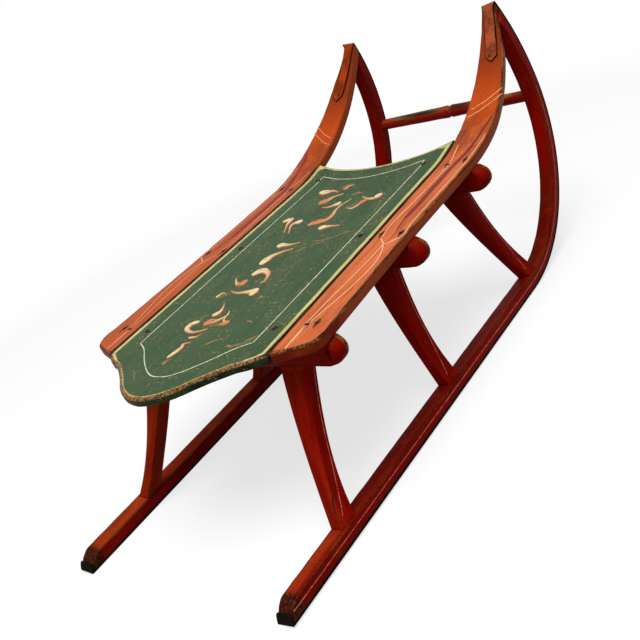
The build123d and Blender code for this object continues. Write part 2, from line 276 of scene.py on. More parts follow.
def skin(points, lay, arris, caps=(True, True)):
    """A closed skin over rings of points, with each end closed by shrinking loops."""
    rings, count = points.shape[:2]
    faces = grid_faces(rings, count, wrap=True)
    all_points, all_lay, all_arris = [points.reshape(-1, 3)], [lay.reshape(-1, 3)], [arris.reshape(-1)]
    total = rings * count
    for end, closed in zip((0, rings - 1), caps):
        if not closed:
            continue
        outer = list(range(end * count, end * count + count))
        centre, lay_centre = points[end].mean(0), lay[end].mean(0)
        for shrink in (0.75, 0.4):
            loop = list(range(total, total + count))
            all_points.append(centre + (points[end] - centre) * shrink)
            all_lay.append(lay_centre + (lay[end] - lay_centre) * shrink)
            all_arris.append(np.full(count, 9.0 * (1 - shrink)))
            total += count
            for index in range(count):
                after = (index + 1) % count
                faces.append((outer[index], loop[index], loop[after], outer[after]))
            outer = loop
        faces.append(tuple(outer))
    return np.concatenate(all_points), faces, np.concatenate(all_lay), np.concatenate(all_arris)


def spline(points, count):
    """A smooth curve of count points through a few given ones."""
    points = np.asarray(points, float)
    padded = np.concatenate([[2 * points[0] - points[1]], points, [2 * points[-1] - points[-2]]])
    spans = len(padded) - 3
    place = np.linspace(0, spans, count)
    index = np.minimum(place.astype(int), spans - 1)
    t = (place - index)[:, None]
    a, b, c, d = (padded[index + shift] for shift in range(4))
    return 0.5 * (2 * b + (c - a) * t + (2 * a - 5 * b + 4 * c - d) * t**2 + (3 * b - a - 3 * c + d) * t**3)


def board(place, grid, thickness, top_round, low_round):
    """A board from a plan grid of (x, along) and a function from (x, along, depth) to points."""
    arc_steps, side_points, uneven = 3, 2, 0.12
    rows, columns = grid.shape[:2]
    index = np.arange(rows * columns).reshape(rows, columns)
    edge = np.concatenate([index[0], index[1:, -1], index[-1, -2::-1], index[-2:0:-1, 0]])
    plan = grid.reshape(-1, 2)
    outline = plan[edge]
    normal = edge_normals(outline)
    gaps = gap_to(plan, outline)
    round_here = top_round(outline)
    loops = []
    for angle in quarter_turn(arc_steps, 1):
        loops.append((round_here * (1 - math.sin(angle)), round_here * (1 - math.cos(angle)), 0.0))
    for step in range(side_points):
        t = (step + 1) / (side_points + 1)
        depth = round_here + (thickness - low_round - round_here) * t
        loops.append((0 * round_here, depth, min(t, 1 - t) * thickness))
    for angle in quarter_turn(arc_steps)[:-1]:
        inset, depth = low_round * (1 - math.cos(angle)), thickness - low_round * (1 - math.sin(angle))
        loops.append((inset + 0 * round_here, depth + 0 * round_here, 0.0))
    top = plan.copy()
    top[edge] = outline - normal * round_here[:, None]
    low = plan.copy()
    low[edge] = outline - normal * low_round
    plans = [top] + [outline - normal * inset[:, None] for inset, depth, arris in loops] + [low]
    hollow = uneven * (1 + waves(plan, 60.0, 3)) * np.clip(gaps / 6.0, 0, 1)
    depths = [hollow] + [depth for inset, depth, arris in loops] + [np.full(len(plan), thickness)]
    arrises = [np.maximum(gaps - 1.0, 0)] + [np.full(len(edge), arris) for inset, depth, arris in loops]
    arrises.append(np.maximum(gaps - 1.0, 0))
    arrises[0][edge] = 0
    arrises[-1][edge] = 0
    faces = grid_faces(rows, columns)
    ring = edge
    start = rows * columns
    count = len(edge)
    for loop in range(len(loops) + 1):
        if loop < len(loops):
            following = np.arange(start, start + count)
            start += count
        else:
            following = edge + start
        for here in range(count):
            after = (here + 1) % count
            faces.append((ring[here], following[here], following[after], ring[after]))
        ring = following
    faces += grid_faces(rows, columns, start=start)
    flat = np.concatenate(plans)
    depth = np.concatenate(depths)
    points = place(flat[:, 0], flat[:, 1], depth)
    lay = np.stack([flat[:, 1], flat[:, 0], -depth], 1)
    return points, [tuple(int(corner) for corner in face) for face in faces], lay, np.concatenate(arrises)


def plate(outline, place, thickness, round_radius):
    """A slab whose outline is mirrored top to bottom, with its arris radius given at each point."""
    insets, arc_steps = (2.0, 6.0), 4
    count = len(outline)
    inward = edge_normals(outline)
    loops = [(round_radius + inset, -thickness / 2 + 0 * round_radius, inset) for inset in insets[::-1]]
    for angle in quarter_turn(arc_steps):
        depth = -thickness / 2 + round_radius * (1 - math.cos(angle))
        loops.append((round_radius * (1 - math.sin(angle)), depth, np.maximum(round_radius - 3.0, 0)))
    loops.append((0 * round_radius, 0 * round_radius, thickness / 2))
    loops += [(inset, -depth, arris) for inset, depth, arris in loops[-2::-1]]
    plans = np.stack([outline + inward * inset[:, None] for inset, depth, arris in loops])
    depths = np.stack([depth for inset, depth, arris in loops])
    arris = np.stack([arris + 0.0 * round_radius for inset, depth, arris in loops])
    faces = grid_faces(len(loops), count, wrap=True)
    last = (len(loops) - 1) * count
    for index in range(count // 2 - 1):
        face = (index, index + 1, count - 2 - index, count - 1 - index)
        faces.append(face)
        faces.append(tuple(last + corner for corner in face))
    points = place(plans[..., 0], plans[..., 1], depths).reshape(-1, 3)
    lay = np.stack([plans[..., 0], plans[..., 1], depths], -1).reshape(-1, 3)
    return points, faces, lay, arris.reshape(-1)


def ribbon(line, width, place, lift):
    """A painted line or stroke: a low closed bead along a plan line, its width given at each point."""
    sink = 0.5
    forward = np.gradient(line, axis=0)
    side = np.stack([forward[:, 1], -forward[:, 0]], 1)
    side /= np.linalg.norm(side, axis=1)[:, None] + 1e-9
    shares = np.array([-1.0, -0.75, -0.35, 0.0, 0.35, 0.75, 1.0])
    heights = lift * (1 - shares**4) - 0.02
    plan = line[:, None] + side[:, None] * (shares[None, :, None] * width[:, None, None] / 2)
    under_shares = np.array([0.8, -0.8])
    under = line[:, None] + side[:, None] * (under_shares[None, :, None] * width[:, None, None] / 2)
    plan = np.concatenate([plan, under], 1)
    height = np.concatenate([np.broadcast_to(heights, (len(line), 7)), np.full((len(line), 2), -sink)], 1)
    points = place(plan[..., 0], plan[..., 1], -height)
    length = lengths_along(line)
    lay = np.stack([np.broadcast_to(length[:, None], height.shape),
                    np.concatenate([shares, under_shares])[None] * width[:, None] / 2, height], -1)
    share = np.broadcast_to((length / length[-1])[:, None], height.shape)
    faces = grid_faces(len(line), 9, wrap=True)
    faces.append(tuple(range(8, -1, -1)))
    faces.append(tuple(range((len(line) - 1) * 9, len(line) * 9)))
    return points.reshape(-1, 3), faces, lay.reshape(-1, 3), share.reshape(-1).copy()


class Tree:
    """The nodes of a material or of the world, with a short method for each kind that is used."""

    def __init__(self, owner, output):
        owner.use_nodes = True
        self.nodes, self.links = owner.node_tree.nodes, owner.node_tree.links
        self.nodes.clear()
        self.output = self.nodes.new(output)

    def add(self, kind, values, output=0, **settings):
        node = self.nodes.new(kind)
        for key, value in settings.items():
            setattr(node, key, value)
        for socket, value in values.items():
            if isinstance(value, bpy.types.NodeSocket):
                self.links.new(value, node.inputs[socket])
            else:
                node.inputs[socket].default_value = value
        return node.outputs[output]

    def attribute(self, name, output="Fac"):
        return self.add("ShaderNodeAttribute", {}, output, attribute_name=name)

    def noise(self, vector, scale, detail, roughness, distortion=0.0):
        values = {"Vector": vector, "Scale": scale, "Detail": detail, "Roughness": roughness,
                  "Distortion": distortion}
        return self.add("ShaderNodeTexNoise", values, "Fac")

    def axis(self, vector, axis="X"):
        return self.add("ShaderNodeSeparateXYZ", {"Vector": vector}, axis)

    def facing_up(self):
        return self.axis(self.add("ShaderNodeNewGeometry", {}, "Normal"), "Z")

    def times(self, value, *factors):
        for factor in factors:
            value = self.math("MULTIPLY", value, factor)
        return value

    def plus(self, first, second):
        return self.math("ADD", first, second)

    def minus(self, first, second):
        return self.math("SUBTRACT", first, second)

    def larger(self, first, second):
        return self.math("MAXIMUM", first, second)

    def less(self, value, low, high):
        """1 below a range and 0 above it."""
        return self.minus(1.0, self.step(value, low, high))

    def swing(self, value, size):
        """Noise round zero, so many units either way."""
        return self.times(self.minus(value, 0.5), size)

    def stretch(self, vector, scale, offset=(0.0, 0.0, 0.0)):
        return self.add("ShaderNodeMapping", {"Vector": vector, "Scale": scale, "Location": offset})

    def math(self, operation, first, second=0.0):
        return self.add("ShaderNodeMath", {0: first, 1: second}, operation=operation)

    def step(self, value, low, high):
        """0 below a range and 1 above it, with a soft change between."""
        values = {"Value": value, "From Min": low, "From Max": high}
        return self.add("ShaderNodeMapRange", values, interpolation_type="SMOOTHSTEP")

    def spread(self, value, low, high):
        """Noise from 0 to 1 spread over another range."""
        return self.add("ShaderNodeMapRange", {"Value": value, "To Min": low, "To Max": high})

    def over(self, colour, share, amount, laid):
        """A colour with another laid over it, at most by an amount."""
        return self.mix(self.times(share, amount), colour, laid)

    def mix(self, share, first, second):
        return self.add("ShaderNodeMix", {0: share, 6: first, 7: second}, 2, data_type="RGBA")


class Paint(Tree):
    """A material with one principled shader."""

    def __init__(self, name):
        self.material = bpy.data.materials.new(name)
        super().__init__(self.material, "ShaderNodeOutputMaterial")
        self.shader = self.nodes.new("ShaderNodeBsdfPrincipled")
        self.links.new(self.shader.outputs[0], self.output.inputs[0])

    def finish(self, colour, roughness, height, distance=0.0004, specular=0.1):
        self.links.new(colour, self.shader.inputs["Base Color"])
        self.links.new(roughness, self.shader.inputs["Roughness"])
        self.shader.inputs["Specular IOR Level"].default_value = specular
        bump = self.add("ShaderNodeBump", {"Height": height, "Distance": distance, "Strength": 1.0}, "Normal")
        self.links.new(bump, self.shader.inputs["Normal"])
        return self.material


def rgb(red, green, blue):
    """A colour from its values as seen on a screen, 0 to 255."""
    return tuple((value / 255 / 12.92) if value <= 10 else ((value / 255 + 0.055) / 1.055) ** 2.4
                 for value in (red, green, blue)) + (1.0,)


OLD_WOOD = (rgb(58, 32, 14), rgb(138, 92, 48))


def painted_wood(name, top, side, deep, wear, decorate, gloss=0.42, chips=0.7, rim_share=0.8,
                 facing=(0.35, 0.8), wood=OLD_WOOD, worn_share=1.0, where_worn=None, specular=0.04):
    """Old paint on wood: painted light where it faces up and painted shade on its sides, with grain, chips,
    and arrises worn to the wood.
    """
    tree = Paint(name)
    lay = tree.attribute("lay", "Vector")
    arris = tree.attribute("arris")
    grain = tree.noise(tree.stretch(lay, (14.0, 420.0, 420.0)), 1.0, 6.0, 0.62, 0.3)
    fibre = tree.noise(tree.stretch(lay, (60.0, 1900.0, 1900.0)), 1.0, 3.0, 0.5)
    patches = tree.noise(tree.stretch(lay, (9.0, 40.0, 40.0)), 1.0, 5.0, 0.6, 0.6)
    cloud = tree.noise(lay, 34.0, 6.0, 0.66)
    speck = tree.noise(lay, 420.0, 4.0, 0.62)
    # Painted light and shade: faces that look up take the top colour, the sides take the side colour
    paint = tree.mix(tree.step(tree.facing_up(), *facing), side, top)
    colour = tree.over(paint, tree.step(patches, 0.42, 0.68), 0.55, deep)
    colour = tree.over(colour, tree.step(grain, 0.5, 0.74), 0.45, deep)
    colour = tree.over(colour, tree.step(fibre, 0.55, 0.78), 0.22, deep)
    colour = decorate(tree, colour, lay, arris, grain, cloud, speck)
    bare = tree.mix(tree.step(grain, 0.38, 0.62), *wood)
    grime = rgb(26, 11, 5)
    # Wear at the arrises runs deeper where the noise is high, with a dark rim round the bare wood
    cloud_part = tree.times(tree.minus(cloud, 0.46), 6.0 * wear)
    speck_part = tree.swing(speck, 3.0 * wear)
    depth = tree.minus(arris, tree.plus(cloud_part, speck_part))
    rim = tree.less(depth, 0.3 * wear, 1.2 * wear)
    worn = tree.less(depth, -0.3 * wear, 0.3 * wear)
    if where_worn:
        share = where_worn(tree, lay)
        rim, worn = (tree.times(part, share) for part in (rim, worn))
    worn = tree.times(worn, worn_share)
    chip = tree.times(tree.step(speck, chips, chips + 0.04), tree.step(cloud, 0.44, 0.60))
    colour = tree.over(colour, rim, rim_share, grime)
    colour = tree.mix(worn, colour, bare)
    colour = tree.over(colour, chip, 0.85, grime)
    rough = tree.spread(patches, gloss - 0.1, gloss + 0.16)
    rough = tree.larger(rough, tree.times(worn, 0.8))
    height = tree.plus(tree.times(grain, 0.35), tree.times(fibre, 0.12))
    height = tree.minus(height, tree.times(worn, 0.5))
    height = tree.minus(height, tree.times(chip, 0.35))
    return tree.finish(colour, rough, height, specular=specular)


def seat_offset(points):
    """Height over the seat's top face, measured square to it, on the up-curve too."""
    from_origin = points - SEAT_ORIGIN
    forward, height = from_origin @ SEAT_FORWARD, from_origin @ SEAT_UP
    curved = RAIL_BEND_RADIUS - np.hypot(forward - (TIP_ALONG - RAIL_BEND_RUN), RAIL_BEND_RADIUS - height)
    return np.where(forward > TIP_ALONG - RAIL_BEND_RUN, curved, height)


def bow_offset(points):
    """Distance inside the bow's outer face, above its first half turn."""
    from_origin = points - RUNNER_ORIGIN
    forward, height = from_origin[..., 1], from_origin @ RUNNER_UP
    return CURL_RADIUS - np.hypot(forward - FRONT_Y + CURL_RADIUS, height - BOW_RADIUS)


def meet(place, low, high, test):
    """The length along a path at which its points pass a face, by halving."""
    halvings = 30
    for step in range(halvings):
        middle = (low + high) / 2
        before = test(place(middle)) > 0
        low, high = np.where(before, middle, low), np.where(before, high, middle)
    return (low + high) / 2


def arc_through(first, middle, last, count=9):
    """Points of the circle through three points."""
    (ax, ay), (bx, by), (cx, cy) = first, middle, last
    scale = 2 * (ax * (by - cy) + bx * (cy - ay) + cx * (ay - by))
    squares = [x * x + y * y for x, y in (first, middle, last)]
    centre = np.array([
        squares[0] * (by - cy) + squares[1] * (cy - ay) + squares[2] * (ay - by),
        squares[0] * (cx - bx) + squares[1] * (ax - cx) + squares[2] * (bx - ax)]) / scale
    arms = [np.array(point) - centre for point in (first, middle, last)]
    angles = np.unwrap([math.atan2(arm[1], arm[0]) for arm in arms])
    turn = np.linspace(angles[0], angles[2], count)
    return centre + np.hypot(*arms[0]) * np.stack([np.cos(turn), np.sin(turn)], 1)


SEAT_TAIL_Y = SEAT_ORIGIN[1]
DECK_TAIL_CURVE = np.concatenate([arc_through(*DECK_TAIL[0:3]), arc_through(*DECK_TAIL[2:5])[1:],
                                  arc_through(*DECK_TAIL[4:7])[1:]])
DECK_FRONT_CURVE = arc_through((DECK_FRONT_HALF, 0), (0, DECK_HOLLOW), (-DECK_FRONT_HALF, 0), 41)
RAIL_SIDE_CURVE = spline([(x, SEAT_TAIL_Y + along) for x, along in RAIL_SIDE]
                         + [(x, TIP_Y - behind) for x, behind in RAIL_UPCURVE]
                         + [(TIP_INNER_X + RAIL_TIP_WIDTH, TIP_Y)], 90)
RAIL_CORNER_CURVE = np.concatenate([[(DECK_TAIL_HALF + DECK_GAP, 0.0)], [RAIL_CORNER[0]],
                                    arc_through(*RAIL_CORNER[1:4])])
TIP_LENGTH = meet(lambda along: on_seat(TIP_INNER_X + RAIL_TIP_WIDTH / 2, along, 0.0),
                  np.array(600.0), np.array(760.0), lambda points: bow_offset(points) - SHOE_THICKNESS)


def deck_behind(x):
    """How far the deck's tail edge is behind its corners."""
    return np.interp(-np.abs(x), -DECK_TAIL_CURVE[:, 0], DECK_TAIL_CURVE[:, 1])


def deck_front(x):
    """How far along the seat the deck's hollow front edge is."""
    return DECK_LENGTH - np.interp(-x, -DECK_FRONT_CURVE[:, 0], DECK_FRONT_CURVE[:, 1])


def rail_inner(y):
    """A rail's inner edge at a place along the sled."""
    return np.interp(y, [SEAT_TAIL_Y, SEAT_TAIL_Y + DECK_LENGTH, TIP_Y],
                     [DECK_TAIL_HALF + DECK_GAP, DECK_FRONT_HALF + DECK_GAP, TIP_INNER_X])


def rail_outer(y):
    """A rail's outer edge at a place along the sled."""
    return np.interp(y, RAIL_SIDE_CURVE[:, 1], RAIL_SIDE_CURVE[:, 0])


def on_rail(x, along, depth):
    """on_seat() for a rail, whose plan is cut upright and whose end is cut back to the bow's strip."""
    top = on_seat(x, along, 0.0)
    share = (x - rail_inner(top[..., 1])) / (rail_outer(top[..., 1]) - rail_inner(top[..., 1]))

    def cut(length):
        under = on_seat(0 * length, length, depth)
        inner, outer = rail_inner(under[..., 1]), rail_outer(under[..., 1])
        return under + np.multiply.outer(inner + (outer - inner) * share, [1.0, 0.0, 0.0])

    end_reach = 60
    start = TIP_LENGTH - end_reach
    end = meet(cut, 0 * along + start, 0 * along + TIP_LENGTH + end_reach,
               lambda points: bow_offset(points) - SHOE_THICKNESS)
    stretched = start + (along - start) * (end - start) / (TIP_LENGTH - start)
    return cut(np.where(along > start, stretched, along))


def deck_board(material):
    """The green board: a swept tail edge, worn round, and a hollow front."""
    share = np.linspace(-1, 1, 67)
    tail = np.stack([DECK_TAIL_HALF * share, -deck_behind(DECK_TAIL_HALF * share)], 1)
    front = np.stack([DECK_FRONT_HALF * share, deck_front(DECK_FRONT_HALF * share)], 1)
    rows = np.concatenate([[0], np.linspace(0.014, 0.992, 100), [1]])[:, None, None]
    grid = tail * (1 - rows) + front * rows

    def worn(outline):
        tail_side = outline[:, 1] < deck_behind(outline[:, 0]) * -1 + 4
        return np.where(tail_side, 3.0, 1.3) + 0.5 * waves(outline, 45.0, 11)

    make_mesh("painted_deck", [board(on_seat, grid, DECK_THICKNESS, worn, low_round=1.5)],
              material, node="deck_board")


def side_rail(material, side):
    """A rail bent up at the front, its tail end sawn and worn round."""
    share = np.linspace(0, 1, 13)
    corner_lengths = lengths_along(RAIL_CORNER_CURVE)
    tail = np.stack([np.interp(share * corner_lengths[-1], corner_lengths, RAIL_CORNER_CURVE[:, axis])
                     for axis in (0, 1)], 1)
    alongs = np.concatenate([np.linspace(85, TIP_LENGTH - 4, 125), [TIP_LENGTH]])
    y = on_seat(0 * alongs, alongs, 0.0)[:, 1]
    body = np.stack([rail_inner(y)[:, None] * (1 - share) + rail_outer(y)[:, None] * share,
                     np.broadcast_to(alongs[:, None], (len(alongs), len(share)))], 2)
    steps = np.concatenate([[0], np.linspace(0.055, 1, 17)[:-1]])[:, None, None]
    grid = np.concatenate([tail * (1 - steps) + body[0] * steps, body])

    def worn(outline):
        return np.where(outline[:, 1] < 40, 2.6, 1.7) + 0.5 * waves(outline, 30.0, 12)

    make_mesh(f"painted_rail_{side}", [board(on_rail, grid, RAIL_THICKNESS, worn, low_round=1.6)],
              material, side == "left", f"side_rail_{side}")


def runner(material, side):
    """A runner of bent wood, swept from its round tail, up the bow, to the rail's underside."""
    nose_length, nose_blend, foot_blend, stations = 26.0, 45.0, 200.0, 190
    lengths = np.concatenate([[0.0, 0.7, 2.2], np.linspace(5, BOW_LENGTH, stations)])
    insets = np.concatenate([[2.2, 0.8, 0.0], np.zeros(stations)])
    low, high = SHOE_THICKNESS, SHOE_THICKNESS + RUNNER_DEPTH
    far = RUNNER_WIDTH - insets
    corners = np.stack([np.stack(corner, 1) for corner in (
        (low + insets, insets), (low + insets, far), (high - insets, far), (high - insets, insets))], 1)
    soft = 1.9 + 0.4 * waves(lengths[:, None] * np.ones(2), 40.0, 13)[:, None] * np.ones(4)
    sections, arris = rounded(corners, soft, 3)
    up, outward = sections[..., 0], sections[..., 1]
    nose = NOSE_Y - TAIL_Y - np.sqrt(NOSE_RADIUS**2 - (up - NOSE_HEIGHT) ** 2)
    blend = np.clip(1 - lengths / nose_blend, 0, 1)[:, None]
    along = lengths[:, None] + blend * nose + 0 * up
    fade = np.clip(1 - lengths / foot_blend, 0, 1)[:, None]
    along += (1 - blend) * (NOSE_Y - TAIL_Y - nose_length) * fade
    along = np.sort(along, axis=0)
    end = meet(lambda length: on_runner(length, up[-1], outward[-1]), 0 * up[-1] + BOW_LENGTH - 80,
               0 * up[-1] + BOW_LENGTH + 20, lambda points: -seat_offset(points) - RAIL_THICKNESS + 0.3)
    start = BOW_LENGTH - 90
    along = np.where(along > start, start + (along - start) * (end - start) / (BOW_LENGTH - start), along)
    lay = np.stack([along, outward, up], -1)
    make_mesh(f"painted_runner_{side}", [skin(on_runner(along, up, outward), lay, arris)],
              material, side == "left", f"runner_{side}")


def sheet(outer, inner):
    """Iron strip from two rails of points on each face: (stations, 2, 3) for the outer and inner face."""
    # distance in from an edge, minus for the far edge and 2 for the middle, and share of the thickness
    soft = 0.6
    spots = [(soft, 0.0), (0.0, 0.35), (0.0, 0.65), (soft, 1.0), (3.0, 1.0), (-2.0, 1.0), (-3.0, 1.0),
             (-soft, 1.0), (-1e-6, 0.65), (-1e-6, 0.35), (-soft, 0.0), (-3.0, 0.0), (-2.0, 0.0), (3.0, 0.0)]
    width = np.linalg.norm(outer[:, 1] - outer[:, 0], axis=1)
    rings, lay, arris = [], [], []
    along = lengths_along(outer.mean(1))
    for across, through in spots:
        middle = abs(across) == 2.0
        size = np.minimum(abs(across), 0.4 * width) / width
        share = 0.5 + 0 * width if middle else (size if across >= 0 else 1 - size)
        if through in (0.35, 0.65):
            share = np.zeros(len(width)) if across == 0.0 else np.ones(len(width))
        outer_point = outer[:, 0] * (1 - share)[:, None] + outer[:, 1] * share[:, None]
        inner_point = inner[:, 0] * (1 - share)[:, None] + inner[:, 1] * share[:, None]
        rings.append(outer_point * (1 - through) + inner_point * through)
        lay.append(np.stack([along, share * width, through * 2 + 0 * width], 1))
        arris.append(np.minimum(share, 1 - share) * width)
    return skin(np.stack(rings, 1), np.stack(lay, 1), np.stack(arris, 1))


def shoe(material, side):
    """The iron strip: a tab up the tail, the sole, the bow's front, then the strap folded over the tip."""
    outer, inner = [], []

    def bow_edges(forward, height):
        base = RUNNER_ORIGIN + np.array([0, forward, 0]) + height * RUNNER_UP
        return [base - 0.2 * OUTWARD, base + (RUNNER_WIDTH + 0.2) * OUTWARD]

    for height in np.linspace(SHOE_TAB_HEIGHT, 2.0, 9):
        for points, radius in ((outer, SHOE_NOSE_RADIUS), (inner, NOSE_RADIUS)):
            points.append(bow_edges(NOSE_Y - math.sqrt(radius**2 - (height - NOSE_HEIGHT) ** 2), height))
    heel_round = 1.6
    for turn in np.radians([20, 45, 70]):
        outer.append(bow_edges(TAIL_Y + heel_round * (1 - math.cos(turn)) + 0.2,
                               heel_round * (1 - math.sin(turn))))
        inner.append(bow_edges(TAIL_Y + SHOE_THICKNESS, SHOE_THICKNESS))
    straight, bent = np.linspace(4, BOW.straight, 60), np.linspace(BOW.straight + 6, BOW_LENGTH, 90)
    for length in np.concatenate([straight, bent]):
        for points, offset in ((outer, 0.0), (inner, SHOE_THICKNESS)):
            points.append(bow_edges(*(float(value) for value in BOW.at(length, offset))))
    # Fold: the strip turns over the rail's end and comes down its top face
    middle = TIP_INNER_X + RAIL_TIP_WIDTH / 2
    over = np.linspace(0, 1, 7)[1:]
    last_outer, last_inner = np.array(outer[-1]), np.array(inner[-1])
    strap_length = STRAP_REACH[side]

    def strap_edges(back, height):
        along = TIP_LENGTH - back
        share = back / strap_length
        centre = middle + 0.6 + STRAP_SPLAY * share
        half = (8.6 + 1.4 * share) * min(1.0, max(0.06, (strap_length - back) / STRAP_POINT * 0.9 + 0.06))
        half = half * (1 + 0.18 * max(0.0, 1 - back / 6.0))
        return [on_seat(np.array(centre + hand * half), np.array(along), -height) for hand in (-1, 1)]

    start_outer, start_inner = (np.array(strap_edges(2.0, height)) for height in (STRAP_THICKNESS, 0.0))
    crown = (last_outer + start_outer) / 2 + np.array([0, 0.9, 0.9])
    for share in over:
        bend = (1 - share) ** 2 * last_outer + 2 * share * (1 - share) * crown + share**2 * start_outer
        outer.append(list(bend))
        inner.append(list(last_inner * (1 - share) + start_inner * share))
    for back in np.concatenate([np.linspace(4, strap_length - STRAP_POINT, 22),
                                strap_length - STRAP_POINT * np.linspace(0.85, 0, 6)]):
        outer.append(strap_edges(back, STRAP_THICKNESS))
        inner.append(strap_edges(back, -0.1))
    make_mesh(f"iron_shoe_{side}", [sheet(np.array(outer), np.array(inner))],
              material, side == "left", f"shoe_{side}")


def leg_frames(name):
    """Foot centre, top centre and the axes at both ends of a right-hand leg."""
    bench_place = {row[0]: row[1] for row in BENCHES}[name]
    foot_place, top_x = {row[0]: row[1:] for row in LEGS}[name]
    foot = RUNNER_ORIGIN + np.array([0, TAIL_Y + foot_place, 0]) + OUTWARD * RUNNER_WIDTH / 2
    foot = foot + RUNNER_UP * (SHOE_THICKNESS + RUNNER_DEPTH - FOOT_SINK)
    top = SEAT_ORIGIN + SEAT_FORWARD * bench_place - SEAT_UP * BENCH_DROP + np.array([top_x, 0, 0])
    return foot, top


def leg_size(share, column):
    """A size from the table of leg sections, as a smooth curve through its rows."""
    return sum(row[column] * np.prod([(share - other[0]) / (row[0] - other[0]) for other in LEG_SECTIONS
                                      if other[0] != row[0]], axis=0) for row in LEG_SECTIONS)


def on_leg(name, across, share, forward):
    """Points of a right-hand leg, from place across its section, share of its height and place forward."""
    foot, top = leg_frames(name)
    share = np.asarray(share, float)
    shift = leg_size(share, 3)
    centre = foot + np.multiply.outer(share, top - foot) + np.multiply.outer(shift, [1.0, 0.0, 0.0])
    side = np.multiply.outer(1 - share, OUTWARD) + np.multiply.outer(share, [1.0, 0.0, 0.0])
    normal = np.multiply.outer(1 - share, RUNNER_UP) + np.multiply.outer(share, SEAT_UP)
    ahead = np.cross(normal, side)
    return centre + side * np.asarray(across)[..., None] + ahead * np.asarray(forward)[..., None]


def leg(material, side, name):
    """A leg: inner side square, both outer arrises chamfered, narrowest above the foot."""
    share = np.linspace(0, 1.002, 44)
    width, chamfer = leg_size(share, 1) / 2, np.maximum(leg_size(share, 2), 0.6)
    half = LEG_DEPTH / 2 + 0 * width
    corners = np.stack([np.stack(corner, 1) for corner in (
        (-width, -half), (width - chamfer, -half), (width, chamfer - half),
        (width, half - chamfer), (width - chamfer, half), (-width, half))], 1)
    soft = np.full(corners.shape[:2], 1.9)
    sections, arris = rounded(corners, soft, 2)
    shares = np.broadcast_to(share[:, None], sections.shape[:2])
    points = on_leg(name, sections[..., 0], shares, sections[..., 1])
    lay = np.stack([shares * 160.0 + 300 * len(name), sections[..., 0], sections[..., 1]], -1)
    make_mesh(f"painted_leg_{name}_{side}", [skin(points, lay, arris + 0.45)],
              material, side == "left", f"leg_{name}_{side}")


def bench(material, name, place, reach):
    """A bench across the rails, its ends turned to round lobes."""
    lobe_x, lobe_z = reach - LOBE_RADIUS, LOBE_RADIUS - BENCH_DROP
    edge_y = SEAT_TAIL_Y + place + np.array([-BENCH_THICKNESS / 2, BENCH_THICKNESS / 2])
    rise_x = float(rail_outer(edge_y).min()) - 0.8
    seat_x = float(rail_inner(edge_y).min()) - 0.4
    start = math.acos((rise_x - lobe_x) / LOBE_RADIUS)
    turns = np.linspace(start, 0, 15)
    xs = np.concatenate([np.linspace(0, seat_x, 18), [seat_x + 0.2],
                         np.linspace(seat_x + 6, rise_x - 0.2, 6)])
    tops = np.where(xs <= seat_x, -DECK_THICKNESS - 0.2, -RAIL_THICKNESS - 0.2)
    xs = np.concatenate([xs, lobe_x + LOBE_RADIUS * np.cos(turns)])
    tops = np.concatenate([tops, lobe_z + LOBE_RADIUS * np.sin(turns)])
    beyond = np.clip((xs - lobe_x) / LOBE_RADIUS, 0, 1)
    lows = lobe_z - LOBE_RADIUS * np.sqrt(1 - beyond**2)
    tops[-1], lows[-1] = lobe_z + 0.4, lobe_z - 0.4
    top, low = (np.stack([np.concatenate([-xs[:0:-1], xs]), np.concatenate([heights[:0:-1], heights])], 1)
                for heights in (tops, lows))

    def on_bench(x, up, depth):
        return SEAT_ORIGIN + np.stack([x, 0 * x, 0 * x], -1) + (
            np.multiply.outer(place + depth, SEAT_FORWARD) + np.multiply.outer(up, SEAT_UP))

    outline = np.concatenate([top, low[::-1]])
    beyond = np.clip((np.abs(outline[:, 0]) - lobe_x + 4) / 12, 0, 1)
    arris_round = 2.4
    radii = arris_round + (BENCH_END_ROUND - arris_round) * beyond**2 * (3 - 2 * beyond)
    part = plate(outline, on_bench, BENCH_THICKNESS, radii)
    lay = part[2] + np.array([0, 90.0 * len(name), 0])
    make_mesh(f"painted_bench_{name}", [(part[0], part[1], lay, part[3])],
              material, node=f"bench_{name}")


def crossbar(material):
    """The turned bar between the bows, thickest at its V groove, worn where a rope was tied."""
    share = np.linspace(-1, 1, 121)
    angles = np.linspace(0, 2 * math.pi, 33)[:-1]
    y = FRONT_Y - SHOE_THICKNESS - RUNNER_DEPTH / 2
    half_length = RUNNER_FOOT_X - BAR_HEIGHT * math.tan(LEAN)
    crowding = 1.15
    x = np.sign(share) * half_length * np.abs(share) ** crowding
    radius = BAR_MIDDLE_RADIUS + (BAR_END_RADIUS - BAR_MIDDLE_RADIUS) * np.abs(share)
    radius -= BAR_GROOVE_DEPTH * np.clip(1 - np.abs(x) / (BAR_GROOVE_WIDTH / 2), 0, 1)
    wear_depth, wear_place, wear_reach = 0.35, 22, 12
    radius -= wear_depth * np.exp(-((np.abs(x) - wear_place) / wear_reach) ** 2)
    ring_radius = radius[:, None] * (1 + 0.006 * waves(np.stack(np.broadcast_arrays(
        x[:, None], 30 * np.cos(angles)[None], 30 * np.sin(angles)[None]), -1), 30.0, 14))
    height = BAR_HEIGHT + ring_radius * np.sin(angles)
    reach = x[:, None] * (1 + (RUNNER_FOOT_X - height * math.tan(LEAN) + 0.4 - half_length) / half_length)
    points = np.stack([reach, y + ring_radius * np.cos(angles), height], -1)
    lay = np.stack([reach, ring_radius * np.cos(angles), ring_radius * np.sin(angles)], -1)
    arris = np.broadcast_to(np.abs(np.abs(x) - BAR_GROOVE_WIDTH / 2)[:, None], reach.shape) + 0.6
    make_mesh("painted_crossbar", [skin(points, lay, arris)], material,
              node="crossbar")


